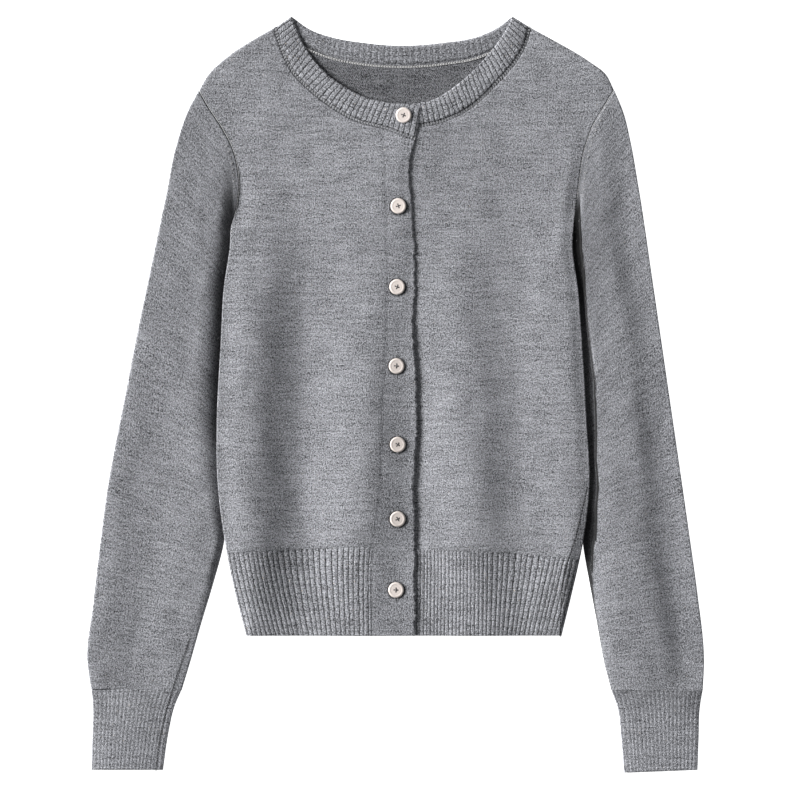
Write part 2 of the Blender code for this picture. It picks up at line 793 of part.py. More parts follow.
def main():
    for thing in list(bpy.data.objects):
        bpy.data.objects.remove(thing)
    garment = bpy.data.collections.new("knitted_cardigan")
    cutters = bpy.data.collections.new("cutters")
    for collection in (garment, cutters):
        bpy.context.scene.collection.children.link(collection)
    pieces = [
        back(),
        back_hem(),
        front("left"),
        front("right"),
        front_hem("left", RIBS_HEM_LEFT, HEM_CROWDING),
        front_hem("right", RIBS_HEM_RIGHT, 0.0),
        band("left"),
        band("right"),
        neckband("back", RIBS_NECK_BACK, lift),
        neckband("left", RIBS_NECK_LEFT, under_left_front),
        neckband("right", RIBS_NECK_RIGHT, under_right_front),
        sleeve("left", SLEEVE_LEFT),
        sleeve("right", SLEEVE_RIGHT),
        cuff("left", CUFF_LEFT),
        cuff("right", CUFF_RIGHT),
    ]
    mesh = button_mesh(finish("button", IVORY, 0.35))
    for number, place in enumerate(BUTTONS, start=1):
        cutter = hole_cutter()
        cutters.objects.link(cutter)
        pieces.append(button(number, place, mesh, cutter))
    for piece in pieces:
        garment.objects.link(piece)


main()
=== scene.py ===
# Knitted button cardigan laid flat on a pale surface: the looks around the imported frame
import json
import math

import bmesh
import bpy
import numpy as np
from mathutils import Matrix, Vector

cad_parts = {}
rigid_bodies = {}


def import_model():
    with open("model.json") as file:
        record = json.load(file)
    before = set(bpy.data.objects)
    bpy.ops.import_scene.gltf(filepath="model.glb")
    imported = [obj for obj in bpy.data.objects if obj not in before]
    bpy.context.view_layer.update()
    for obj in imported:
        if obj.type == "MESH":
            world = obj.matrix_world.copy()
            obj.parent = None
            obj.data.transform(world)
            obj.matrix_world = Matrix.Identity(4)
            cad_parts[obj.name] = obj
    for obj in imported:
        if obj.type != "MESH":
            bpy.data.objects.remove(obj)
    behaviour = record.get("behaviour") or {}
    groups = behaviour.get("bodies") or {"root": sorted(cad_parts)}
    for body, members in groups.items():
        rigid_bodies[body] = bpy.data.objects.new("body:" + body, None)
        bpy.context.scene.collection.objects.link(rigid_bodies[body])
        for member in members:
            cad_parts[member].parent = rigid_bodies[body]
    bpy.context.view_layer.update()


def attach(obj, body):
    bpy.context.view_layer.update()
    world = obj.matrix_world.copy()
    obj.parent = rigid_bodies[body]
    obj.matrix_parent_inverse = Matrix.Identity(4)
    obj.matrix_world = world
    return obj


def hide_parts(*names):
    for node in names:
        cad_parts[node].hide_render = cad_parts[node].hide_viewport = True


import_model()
print("stage: frame loaded")

mm = 0.001  # all sizes below are millimetres unless a note says otherwise
tau = 2 * math.pi


def show(name, data):  # a new object in the scene
    made = bpy.data.objects.new(name, data)
    bpy.context.scene.collection.objects.link(made)
    return made


def showMesh(name, points, edges, faces):
    mesh = bpy.data.meshes.new(name)
    mesh.from_pydata(points, edges, faces)
    return show(name, mesh)


# Node helpers

class Term:  # a node's output: arithmetic on it adds maths nodes
    def __init__(self, socket):
        self.socket, self.tree = socket, socket.id_data

    def __getitem__(self, key):  # another output of the same node
        return Term(self.socket.node.outputs[key])

    def math(self, operation, *others):
        return addNode(self.tree, "ShaderNodeMath", dict(enumerate((self, *others))), operation=operation)

    def __add__(self, other):
        return self.math("ADD", other)

    def __sub__(self, other):
        return self.math("SUBTRACT", other)

    def __mul__(self, other):
        return self.math("MULTIPLY", other)

    def __truediv__(self, other):
        return self.math("DIVIDE", other)

    def __abs__(self):
        return self.math("ABSOLUTE")


def addNode(tree, kind, values=None, **settings):
    node = tree.nodes.new(kind)
    for name, value in settings.items():
        setattr(node, name, value)
    for key, value in (values or {}).items():
        if isinstance(value, Term):
            join(value, node.inputs[key])
        else:
            node.inputs[key].default_value = value
    return Term(node.outputs[0])


def join(term, socket):
    term.tree.links.new(term.socket, socket)


def newGroup(name, kind, inputs, outputs):  # each socket's label with its default value or its kind
    tree = bpy.data.node_groups.new(name, kind)
    for sockets, way in ((inputs, "INPUT"), (outputs, "OUTPUT")):
        for label, value in sockets.items():
            socketKind = {float: "Float", int: "Int", tuple: "Color"}.get(type(value), value)
            socket = tree.interface.new_socket(label, in_out=way, socket_type="NodeSocket" + socketKind)
            if socketKind != value:
                socket.default_value = value
    start, end = tree.nodes.new("NodeGroupInput"), tree.nodes.new("NodeGroupOutput")
    return tree, Term(start.outputs[0]), end.inputs


def noiseAt(place, scale, detail, roughness=0.5):
    values = {"Vector": place, "Scale": scale, "Detail": detail, "Roughness": roughness}
    return addNode(place.tree, "ShaderNodeTexNoise", values)


def ranged(value, start, end, low=0.0, high=1.0, **settings):
    ends = {1: start, 2: end, 3: low, 4: high}
    return addNode(value.tree, "ShaderNodeMapRange", {0: value, **ends}, **settings)


def separated(vector):
    parts = addNode(vector.tree, "ShaderNodeSeparateXYZ", {0: vector})
    return parts[0], parts[1], parts[2]


def mixed(share, first, second):
    return addNode(share.tree, "ShaderNodeMix", {0: share, 6: first, 7: second}, data_type="RGBA")[2]


def useGroup(tree, group, **values):
    return addNode(tree, "ShaderNodeGroup", values, node_tree=group)


# Camera, light and floor

studio = {
    "lens": 200.0,  # long, so that the flat garment shows almost without perspective
    "across": 688.0,
    "centre": (3.9, -4.7),
    "heightOfFocus": 5.0,
    "keyDirection": 163.0,  # degrees round from +X that the key light comes from
    "keyElevation": 22.0,
    "keySoftness": 25.0,
    "keyStrength": 8.7,
    "fill": 0.25,
    "fillColour": (0.96, 0.98, 1.0, 1.0),
    "floorSize": 6.0,  # metres
    "floorGlow": 1.05,
}


def newMaterial(name, values):  # a material, its node tree and its shader's inputs
    material = bpy.data.materials.new(name)
    material.use_nodes = True
    surface = material.node_tree.nodes["Principled BSDF"].inputs
    for label, value in values.items():
        surface[label].default_value = value
    return material, material.node_tree, surface


def makeStudio():
    scene = bpy.context.scene
    scene.view_settings.view_transform = "Standard"
    cameraData = bpy.data.cameras.new("camera")
    cameraData.lens = studio["lens"]
    cameraData.clip_end = 100
    scene.camera = show("camera", cameraData)
    distance = studio["across"] / 2 / (cameraData.sensor_width / 2 / cameraData.lens)
    scene.camera.location = Vector((*studio["centre"], distance + studio["heightOfFocus"])) * mm

    key = bpy.data.lights.new("key", "SUN")
    key.energy = studio["keyStrength"]
    key.angle = math.radians(studio["keySoftness"])
    lamp = show("key", key)
    around, up = math.radians(studio["keyDirection"]), math.radians(studio["keyElevation"])
    lamp.location = (math.cos(around) * math.cos(up), math.sin(around) * math.cos(up), math.sin(up))
    lamp.rotation_euler = lamp.location.to_track_quat("Z", "Y").to_euler()

    scene.world = bpy.data.worlds.new("fill")
    scene.world.use_nodes = True
    background = scene.world.node_tree.nodes["Background"].inputs
    background["Color"].default_value = studio["fillColour"]
    background["Strength"].default_value = studio["fill"]

    half = studio["floorSize"] / 2
    floor = showMesh("floor", [(-half, -half, 0), (half, -half, 0), (half, half, 0), (-half, half, 0)], [],
                     [(0, 1, 2, 3)])
    floor.location.z = -0.0002
    paper, _, _ = newMaterial("whitePaper", {"Base Color": (0.9, 0.9, 0.9, 1.0), "Roughness": 0.9,
                                             "Emission Color": (1.0, 1.0, 1.0, 1.0),
                                             "Emission Strength": studio["floorGlow"]})
    floor.data.materials.append(paper)


makeStudio()
print("stage: studio made")


# Shader groups that several materials share

yarnLayers = [
    # the heather's noises: across, along, turn in degrees, detail, weight
    (1.15, 1.1, 0.0, 1.0, 1.05), (0.75, 2.1, 34.0, 1.0, 0.55), (0.75, 2.1, -34.0, 1.0, 0.55),
    (6.0, 1.4, 0.0, 2.0, 0.32), (34.0, 3.4, 0.0, 2.0, 0.3), (26.0, 30.0, 0.0, 3.0, 0.24),
]
fleckColour = (0.72, 0.6, 0.48, 1.0)
seamOrigin = 50.0  # added to the distances, so that a piece without any lies far from every seam


def makeHeatherYarn():
    # mixed light and dark fibres: a tone for each stitch, streaks along the courses, short slanting
    # fibres, broad cloudiness and pale flecks
    tree, given, end = newGroup("heatherYarn", "ShaderNodeTree",
                                {"Vector": "Vector", "Light": (0.4, 0.4, 0.42, 1),
                                 "Dark": (0.1, 0.1, 0.11, 1), "Contrast": 1.0, "Flecks": 0.5},
                                {"Color": "Color", "Shade": "Float"})
    at = given["Vector"]
    total = 0.5
    for across, along, turn, detail, weight in yarnLayers:
        turned = addNode(tree, "ShaderNodeVectorRotate", {"Vector": at, "Angle": math.radians(turn)},
                         rotation_type="Z_AXIS")
        stretched = addNode(tree, "ShaderNodeVectorMath", {0: turned, 1: (1 / across, 1 / along, 1.0)},
                            operation="MULTIPLY")
        total = (noiseAt(stretched, 1.0, detail, 0.62) - 0.5) * weight + total
    shade = ranged((total - 0.5) * given["Contrast"] + 0.5, 0.2, 0.8)
    fleck = ranged(noiseAt(at, 0.62, 1.0), 0.73, 0.79) * given["Flecks"]
    join(mixed(fleck, mixed(shade, given["Dark"], given["Light"]), fleckColour), end["Color"])
    join(shade, end["Shade"])
    return tree


def makeKnitFace():
    # the V stitches of a knit face: two slanted legs to a wale, and the hollows between them, which the knit
    # materials darken as painted shade
    tree, given, end = newGroup("knitFace", "ShaderNodeTree",
                                {"Vector": "Vector", "Wale": 1.75, "Course": 1.35, "Slant": 0.5},
                                {"Height": "Float"})
    at = given["Vector"]
    x, y, _ = separated(at)
    side = abs((noiseAt(at, 0.3, 2.0) * 2.2 + x / given["Wale"]).math("FRACT") - 0.5) * 2.0
    leg = ((side * 0.8 + 0.14) * math.pi).math("SINE")
    row = noiseAt(at, 0.24, 2.0) * 2.6 + (y / given["Course"] + side * given["Slant"])
    loop = (row.math("FRACT") * math.pi).math("SINE")
    join(leg * (loop * 0.62 + 0.38), end["Height"])
    return tree


def makePurlFace():
    # the purl side: rows of small arcs, each row half a loop on from the last
    tree, given, end = newGroup("purlFace", "ShaderNodeTree",
                                {"Vector": "Vector", "Wale": 1.75, "Course": 1.35}, {"Height": "Float"})
    x, y, _ = separated(given["Vector"])
    rows = y / given["Course"]
    turn = (x / given["Wale"] + rows.math("FLOOR") * 0.5) * tau
    join(((rows + turn.math("COSINE") * 0.3).math("FRACT") * math.pi).math("SINE"), end["Height"])
    return tree


def makeRibValleyShade():
    # painted shade in the dashed hollows between the ribs, where the half of each pair of wales that is
    # knitted inside out lies
    tree, given, end = newGroup("ribValley", "ShaderNodeTree",
                                {"Vector": "Vector", "Pair Width": 3.5, "Course": 1.6}, {"Mask": "Float"})
    at = given["Vector"]
    x, y, _ = separated(at)
    share = (noiseAt(at, 0.16, 1.0) * 0.3 + x / given["Pair Width"] - 0.15).math("FRACT")
    line = ranged(abs(share - 0.75), 0.15, 0.05, interpolation_type="SMOOTHSTEP")
    rows = noiseAt(at, 0.55, 2.0) * 1.5 + y / given["Course"]
    dash = abs((rows * math.pi).math("SINE"))
    join(line * (dash * 0.45 + 0.55), end["Mask"])
    return tree


def makeSeamLine():
    # dark dashed lines beside a seam, from the distance to it that the mesh carries
    tree, given, end = newGroup("seamLine", "ShaderNodeTree",
                                {"Away": 0.0, "Along": 0.0, "Gap": 0.0, "Dark": 0.0, "Pitch": 2.6},
                                {"Mask": "Float"})
    away = abs(given["Away"] - seamOrigin)
    line = ranged(abs(away - given["Gap"]), 1.0, 0.25, interpolation_type="SMOOTHSTEP")
    dash = (given["Along"] / given["Pitch"] * tau).math("SINE") * 0.3 + 0.7
    join(line * dash * given["Dark"], end["Mask"])
    return tree


heatherYarn, knitFace, purlFace = makeHeatherYarn(), makeKnitFace(), makePurlFace()
ribValley, seamLine = makeRibValleyShade(), makeSeamLine()


# Materials

yarnLook = {
    "light": (0.456, 0.461, 0.492),
    "dark": (0.015, 0.015, 0.017),
    "stitchDepth": 0.24,
    "fuzzDepth": 0.3,
    "hollowShade": 0.28,  # painted shade: how much darker the colour is made in the hollows between stitches
    "seamShade": 0.78,  # how much darker the yarn is in the dark lines beside seams, and in the painted shadow ring round each button
    "creviceShade": 0.89,  # painted shade: how much darker the stored shade makes the colour, beside and under the body's edge, round buttons and on turned-under cloth
    "seamPitch": 2.6,
    "sheen": 0.03,
}


def bumped(height, strength, depth, under=None):
    values = {"Height": height, "Strength": strength, "Distance": depth * mm}
    return addNode(height.tree, "ShaderNodeBump", {**values, **({"Normal": under} if under else {})})


def scaled(colour, level):
    return addNode(level.tree, "ShaderNodeVectorMath", {0: colour, 3: level}, operation="SCALE")


def knitMaterial(name, face, tone=1.0, wale=1.75, course=1.35, contrast=1.0, flecks=0.35, valleyShade=0.0):
    material, tree, surface = newMaterial(name, {"Roughness": 0.88, "Specular IOR Level": 0.2,
                                                 "Sheen Weight": yarnLook["sheen"], "Sheen Roughness": 0.6})
    place = addNode(tree, "ShaderNodeUVMap", uv_map="knit")
    light, dark = ((*(tone * c for c in yarnLook[key]), 1.0) for key in ("light", "dark"))
    yarn = useGroup(tree, heatherYarn, Vector=place, Light=light, Dark=dark, Contrast=contrast, Flecks=flecks)
    height = useGroup(tree, face, Vector=place, Wale=wale, Course=course)
    # painted shade in the stitch hollows, and a slight painted highlight on their crests
    level = ranged(height, 0.0, 0.75, 1.0 - yarnLook["hollowShade"], 1.1)
    # painted shade in the rib valleys
    if valleyShade:
        level = level * (useGroup(tree, ribValley, Vector=place) * -valleyShade + 1.0)
    stored = {label: addNode(tree, "ShaderNodeAttribute", attribute_name="seam" + label)["Fac"]
              for label in ("Away", "Along", "Gap", "Dark")}
    seam = useGroup(tree, seamLine, Pitch=yarnLook["seamPitch"], **stored)
    # painted shade: a stored attribute darkens the colour where shade falls between and under parts
    crevice = addNode(tree, "ShaderNodeAttribute", attribute_name="crevice")["Fac"]
    level = level * (seam * -yarnLook["seamShade"] + 1.0) * (crevice * -yarnLook["creviceShade"] + 1.0)
    join(scaled(yarn, level), surface["Base Color"])
    fibres = bumped(yarn["Shade"], 1.0, yarnLook["fuzzDepth"])
    join(bumped(height - seam, 1.0, yarnLook["stitchDepth"], fibres), surface["Normal"])
    return material


ribCourse = 1.5
jerseyKnit = knitMaterial("jerseyKnit", knitFace)
# the purl side; its darker tone is partly the purl face and partly painted shade on the garment's inside seen
# through the neck
jerseyPurl = knitMaterial("jerseyPurl", purlFace, 0.525, contrast=1.4, flecks=0.1)
ribYarn = {"course": ribCourse, "flecks": 0.8, "contrast": 1.05}
hemRib = knitMaterial("hemRib", knitFace, 1.12, valleyShade=0.98, **ribYarn)
neckRib = knitMaterial("neckRib", knitFace, 1.09, valleyShade=0.95, **ribYarn)
cuffRib = knitMaterial("cuffRib", knitFace, 1.03, course=ribCourse, flecks=0.6, valleyShade=0.35)
ribInside = knitMaterial("ribInside", knitFace, 0.95, course=ribCourse, flecks=0.3, valleyShade=0.3)
bandKnit = knitMaterial("bandKnit", knitFace, 1.03, wale=2.6, course=1.3, flecks=0.4)


def plainMaterial(name, colour, roughness, grain, grainScale, sheen=0.0, coat=0.0):
    # colour with a fine unevenness on Object coordinates, in metres
    values = {"Roughness": roughness, "Sheen Weight": sheen, "Coat Weight": coat}
    material, tree, surface = newMaterial(name, values)
    noise = noiseAt(addNode(tree, "ShaderNodeTexCoord")["Object"], grainScale, 3.0)
    join(scaled(colour, ranged(noise, 0.3, 0.7, 1.0 - grain, 1.0 + grain)), surface["Base Color"])
    join(bumped(noise, 0.6, 0.05), surface["Normal"])
    return material


buttonIvory = plainMaterial("buttonIvory", (0.67, 0.6, 0.56), 0.45, 0.07, 340.0, coat=0.2)
sewingThread = plainMaterial("sewingThread", (0.035, 0.035, 0.04), 0.7, 0.3, 2500.0)
linkingYarn = plainMaterial("linkingYarn", (0.27, 0.272, 0.285), 0.85, 0.4, 1500.0, sheen=0.2)
paleYarn = plainMaterial("paleYarn", (0.38, 0.375, 0.375), 0.85, 0.3, 1500.0, sheen=0.2)
sideYarn = plainMaterial("sideYarn", (0.05, 0.05, 0.053), 0.9, 0.4, 1500.0, sheen=0.1)
# near-black yarn for the buttonhole slits: painted shade of the gap in each slit
darkYarn = plainMaterial("darkYarn", (0.035, 0.035, 0.04), 0.9, 0.4, 1500.0)
fuzzYarn = plainMaterial("fuzzYarn", (0.3, 0.3, 0.315), 0.9, 0.5, 400.0, sheen=0.3)
print("stage: materials made")


# Curves, patches and soft shapes

def ease(t):
    t = np.clip(t, 0.0, 1.0)
    return t * t * (3.0 - 2.0 * t)


def bend(s, low, high, slopeLow, slopeHigh):  # a smooth step; the slopes are for a whole step
    rise = high - low
    return low + s * rise + s * (1.0 - s) * ((slopeLow - rise) * (1.0 - s) + (rise - slopeHigh) * s)


def smoothCurve(at, values):  # a smooth curve through values, as a function
    at, values = np.asarray(at, float), np.asarray(values, float)
    slopes = np.gradient(values, at)

    def value(t):
        t = np.clip(np.asarray(t, float), at[0], at[-1])
        i = np.clip(np.searchsorted(at, t, side="right") - 1, 0, len(at) - 2)
        step = at[i + 1] - at[i]
        return bend((t - at[i]) / step, values[i], values[i + 1], slopes[i] * step, slopes[i + 1] * step)

    return value


def acrossCurve(at, levels, x):  # a smooth curve over x through levels, all of them arrays of points
    inner = range(1, len(at) - 1)
    slopes = [0.0 * x, *((levels[k + 1] - levels[k - 1]) / (at[k + 1] - at[k - 1]) for k in inner), 0.0 * x]
    x = np.clip(x, at[0], at[-1])
    total = 0.0 * x
    for k in range(len(at) - 1):
        step = at[k + 1] - at[k]
        s = (x - at[k]) / step
        here = bend(s, levels[k], levels[k + 1], slopes[k] * step, slopes[k + 1] * step)
        total = np.where((s >= 0.0) & (s <= 1.0), here, total)
    return total


def columnCurve(rows, column=1):  # a smooth curve through a column of a table over its first column
    rows = np.array(rows)
    return smoothCurve(rows[:, 0], rows[:, column])


def tableAt(rows, at, column=1):  # the same, straight from row to row
    rows = np.array(rows)
    return np.interp(at, rows[:, 0], rows[:, column])


def lineThrough(at, points):
    points = np.asarray(points, float)
    x, y = smoothCurve(at, points[:, 0]), smoothCurve(at, points[:, 1])
    return lambda share: np.stack([x(share), y(share)], axis=-1)


def linePath(points):
    points = np.asarray(points, float)
    length = np.concatenate([[0.0], np.cumsum(np.hypot(*np.diff(points, axis=0).T))])
    return lineThrough(length / length[-1], points)


def straightLine(start, end):
    start, end = np.asarray(start, float), np.asarray(end, float)
    return lambda share: start + (end - start) * np.asarray(share, float)[..., None]


def reverseLine(line):
    return lambda share: line(1 - np.asarray(share, float))


def joinLines(lines, corners):
    ends = np.array([0.0, *corners, 1.0])

    def point(share):
        share = np.asarray(share, float)
        i = np.clip(np.searchsorted(ends, share, side="right") - 1, 0, len(lines) - 1)
        local = (share - ends[i]) / (ends[i + 1] - ends[i])
        out = np.zeros((*share.shape, 2))
        for k, line in enumerate(lines):
            chosen = i == k
            if chosen.any():
                out[chosen] = line(local[chosen])
        return out

    return point


def lineAtHeight(xAt, low, high):
    def point(share):
        y = low + (high - low) * np.asarray(share, float)
        return np.stack([xAt(y), y], axis=-1)

    return point


def samples(line, count=60):
    return line(np.linspace(0.0, 1.0, count))


def coonsPatch(low, high, first, last, us, vs):
    u, v = np.asarray(us)[None, :, None], np.asarray(vs)[:, None, None]
    (a, b), (c, d) = samples(low, 2), samples(high, 2)
    betweenRows = (1 - v) * low(us)[None] + v * high(us)[None]
    betweenColumns = (1 - u) * first(vs)[:, None] + u * last(vs)[:, None]
    corners = (1 - v) * ((1 - u) * a + u * b) + v * ((1 - u) * c + u * d)
    return betweenRows + betweenColumns - corners


edgeSteps = (0.25, 0.6, 1.05, 1.6, 2.4)  # distances from an edge where a mesh has extra rows


def edgeShares(count, length):  # even shares with extra ones beside the ends
    near = np.array(edgeSteps) / length
    inner = np.linspace(near[-1], 1 - near[-1], count)[1:-1]
    return np.concatenate([[0.0], near, inner, 1 - near[::-1], [1.0]])


def edgeDistances(xy):  # distance of each point from the four edges of its grid, along the grid
    across = np.linalg.norm(np.diff(xy, axis=1), axis=-1)
    up = np.linalg.norm(np.diff(xy, axis=0), axis=-1)
    first = np.pad(np.cumsum(across, axis=1), ((0, 0), (1, 0)))
    low = np.pad(np.cumsum(up, axis=0), ((1, 0), (0, 0)))
    return {"first": first, "last": first[:, -1:] - first, "low": low, "high": low[-1:] - low}


def quarterRound(distance, radius):
    t = np.clip(1.0 - distance / radius, 0.0, 1.0)
    return np.sqrt(np.maximum(1.0 - t * t, 0.0))


def squareRound(distance, radius):  # nearly flat out to the edge, then steep
    t = np.clip(1.0 - distance / radius, 0.0, 1.0)
    return np.maximum(1.0 - t**4, 0.0) ** 0.25


def groove(distance, width):
    return np.exp(-((distance / width) ** 2))


def unevenness(seed, wavelength, count=14):
    # a smooth uneven height field of about 1 mm: waves of like length and mixed directions
    rng = np.random.default_rng(seed)
    angles, phases = rng.uniform(0, tau, count), rng.uniform(0, tau, count)
    lengths = wavelength * rng.uniform(0.7, 1.6, count)

    def height(x, y):
        total = 0.0 * x
        for angle, phase, length in zip(angles, phases, lengths):
            total = total + np.sin((x * math.cos(angle) + y * math.sin(angle)) * tau / length + phase)
        return total / math.sqrt(count)

    return height


# the cloth's own unevenness: height of each field of waves
unevenFields = [(0.28, unevenness(3, 70.0)), (0.13, unevenness(5, 24.0)), (0.045, unevenness(8, 9.0))]


def clothUneven(x, y):
    return sum(height * field(x, y) for height, field in unevenFields)


# Meshes

def gridQuads(index):
    quads = np.stack([index[:-1, :-1], index[:-1, 1:], index[1:, 1:], index[1:, :-1]], axis=-1)
    return quads.reshape(-1, 4)


def meshObject(name, points, faces, topFaces, uv, faceMaterials, materials, attributes):
    a, b, c = (points[topFaces[:, k], :2] for k in range(3))
    if np.cross(b - a, c - a).sum() < 0:  # the upper side looks down
        faces = faces[:, ::-1]
    piece = showMesh(name, (points * mm).tolist(), [], faces.tolist())
    mesh = piece.data
    layer = mesh.uv_layers.new(name="knit")
    corners = np.empty(len(mesh.loops), int)
    mesh.loops.foreach_get("vertex_index", corners)
    layer.data.foreach_set("uv", np.asarray(uv, np.float32)[corners].ravel())
    for material in materials:
        mesh.materials.append(material)
    mesh.polygons.foreach_set("material_index", np.asarray(faceMaterials, np.int32))
    for label, values in attributes.items():
        layer = mesh.attributes.new(label, "FLOAT", "POINT")
        layer.data.foreach_set("value", np.asarray(values, np.float32))
    mesh.shade_smooth()
    mesh.validate()
    return piece


def clothShell(name, xy, top, bottom, uv, materials, attributes):
    # one layer of cloth: a closed shell between two height grids over one grid of x and y
    points = [np.concatenate([xy, height[..., None]], axis=-1).reshape(-1, 3) for height in (top, bottom)]
    index = np.arange(top.size).reshape(top.shape)
    topFaces = gridQuads(index)
    bottomFaces = topFaces[:, ::-1] + top.size
    rim = np.concatenate([index[0, :-1], index[:-1, -1], index[-1, :0:-1], index[:0:-1, 0]])
    after = np.roll(rim, -1)
    sides = np.stack([rim, rim + top.size, after + top.size, after], axis=-1)
    kinds = np.concatenate([np.zeros(len(topFaces)), np.ones(len(bottomFaces)), np.zeros(len(sides))])
    attributes = {label: np.concatenate([v.ravel() for v in pair]) for label, pair in attributes.items()}
    return meshObject(name, np.concatenate(points), np.concatenate([topFaces, bottomFaces, sides]), topFaces,
                      np.concatenate([uv.reshape(-1, 2)] * 2), kinds, materials, attributes)


def roundedEdges(distances, top, bottom, edges):
    # edges: side -> (radius, where the two faces meet: 0 at the bottom, 1 at the top)
    for side, (radius, meet) in edges.items():
        level = bottom + meet * (top - bottom)
        share = np.maximum(quarterRound(distances[side], radius), 0.18)
        top = level + (top - level) * share
        bottom = level - (level - bottom) * share
    return top, bottom


def seamField(xy, lines):
    # what each point of a mesh knows of its nearest seam; lines: (points, gap between dark lines, darkness)
    shape, furthest = xy.shape[:-1], 30.0
    nearest, away, along = np.full(shape, furthest), np.full(shape, furthest), np.zeros(shape)
    gaps, darkness = np.zeros(shape), np.zeros(shape)
    for points, gap, dark in lines:
        points = np.asarray(points, float)
        passed = 0.0
        for start, end in zip(points[:-1], points[1:]):
            length = math.hypot(*(end - start))
            unit = (end - start) / length
            x, y = xy[..., 0] - start[0], xy[..., 1] - start[1]
            t = np.clip(x * unit[0] + y * unit[1], 0.0, length)
            distance = np.hypot(x - t * unit[0], y - t * unit[1])
            closer = distance < nearest
            nearest = np.where(closer, distance, nearest)
            away = np.where(closer, distance * np.where(unit[0] * y - unit[1] * x < 0, -1.0, 1.0), away)
            along = np.where(closer, passed + t, along)
            gaps, darkness = np.where(closer, gap, gaps), np.where(closer, dark, darkness)
            passed += length
    return {"seamAway": away + seamOrigin, "seamAlong": along, "seamGap": gaps, "seamDark": darkness}


def onTop(fields):  # the same for the upper face of a shell alone
    return {label: (values, 0.0 * values) for label, values in fields.items()}


def addPiece(piece, slot, node=None, **sheet):  # a piece that is new or takes a node's place
    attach(piece, "root")
    if node:
        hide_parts(node)
    return piece


# The garment's lines, in the frame's own sizes

body = {
    # y, right edge, left edge: the side seams, the armholes and the shoulder line
    "outline": [(-207.5, -128.5, 143), (-170, -138, 152), (-126, -146.5, 161.5), (-80, -152.5, 167),
        (-22, -153.5, 164.5), (47, -150, 160.5), (92, -147.5, 157), (127, -142.5, 152.5),
        (146, -141, 153.5), (158.5, -137, 155), (180, -134.5, 157.5), (209, -139, 162), (232, -150.5, 170),
        (247, -160.5, 179), (262, -169, 188), (275.5, -161, 181), (286, -150.5, 167.5), (306.5, -120.5, 133)],
    "hemY": -207.5,
    "underarmY": 158.5,
    "shoulderY": 262,
    "underarmShare": 0.68,
    "neckShares": (0.27, 0.73),
    # x, y of the line where the hem rib starts
    "hemTop": [(-144.9, -136), (-82, -133), (-20, -131), (18, -133), (90, -135.5), (158.8, -141.5)],
    "wall": 2,
    "frontBase": 2.3,
    "overlap": 2.3,
    "overlapRamp": 66,
    "overlapTop": (203, 20, 0.5),  # the band's pressed top: from which height, over what length, how much
}

placket = {
    # y, free edge, seam to the front
    "rows": [(-207.5, 17, -21), (-133.5, 17.5, -20), (-88, 16, -13.5), (-40, 18.5, -12), (14, 18, -10),
        (54.5, 16, -8), (107, 17, -7.5), (176, 13.5, -9), (198, 12, -10), (219, 18, -11)],
    "underEdge": 3,
}

necks = {
    # edge x, edge y, seam x, seam y, from the shoulder line to the front
    "right": [(-89.5, 325.5, -103.5, 316), (-84, 312, -98.5, 299), (-77, 298, -90, 281),
        (-59.5, 276.5, -74, 263), (-42, 264, -54, 247.5), (-23, 254.5, -32, 235.5), (-3, 250.5, -11, 230),
        (11.5, 249.5, 6, 224), (23, 246.5, 18, 219.3)],
    "left": [(100.5, 325.5, 115.5, 316), (95.5, 314.5, 110.5, 299.5), (89, 304.5, 102, 285.5),
        (77, 289.5, 87.5, 269), (63, 275, 71, 252.5), (47.5, 262.5, 55.5, 242), (32, 253.5, 37, 234.5),
        (13, 250, 15, 230.5), (-9.3, 249, -9.3, 229.5)],
    "back": [(-89.5, 325.5, -103.5, 316), (-74, 314.5, -82, 302), (-56, 308, -60, 292.5),
        (-28, 303, -30, 286), (6, 300.5, 6, 283.5), (41, 303, 42, 286), (70, 308, 73, 292),
        (87, 315.5, 95, 302.5), (100.5, 325.5, 115.5, 316)],
    "corner": {"right": 6, "left": 7},  # the row where the front's own band starts
}

creases = {
    "top": 150,
    "bottom": -207.5,
    "x": [(-113, -124), (-76, -87), (-23, -33), (12, 23), (52, 72), (103, 112)],
    # y, then the fronts' height over their lowest place: right edge, ridge, trough, ridge, placket, ridge,
    # trough, left edge
    "heights": [(-207.5, 2, 3.9, 0.4, 2.6, 0.3, 3.5, 0, 0), (-142, 1.3, 3.3, 0.3, 3.6, 0.2, 5.1, 0, 0),
        (-118, 0.6, 2.8, 0.1, 5.4, 0.1, 6.1, 0, 0.1), (-80, 0, 2.8, 0, 6.1, 0.1, 7.1, 0, 0.2),
        (-35, 0, 2.9, 0, 5.6, 0.2, 6.7, 0, 0.2), (30, 0, 2.5, 0.2, 4.3, 0.7, 4.9, 0.2, 0.4),
        (95, 0, 1.8, 0.9, 2.9, 1.3, 3.7, 0.5, 0.8), (150, 0, 1.4, 1.5, 2.6, 2.4, 2.6, 1, 1.8),
        (215, 0, 0.8, 1.5, 2.6, 3, 2.2, 0.9, 1.2), (262, 0, 0.3, 0.8, 1.4, 1.4, 1, 0.5, 0.4),
        (306, 0, 0, 0.2, 0.4, 0.4, 0.3, 0.1, 0)],
}

tuck = {
    # where the sides ride up over the sleeves, per side: height, flat width, ramp
    "right": (7.4, 17, 57),
    "left": (3.9, 18, 56),
    "edge": (0.6, 26),  # just below the armhole only the edge rides up: share of the height, ramp
    "top": 163,
    "edgeFade": 27,
    "fade": 95,
    "bottom": -215,
    "bottomFade": 80,
}

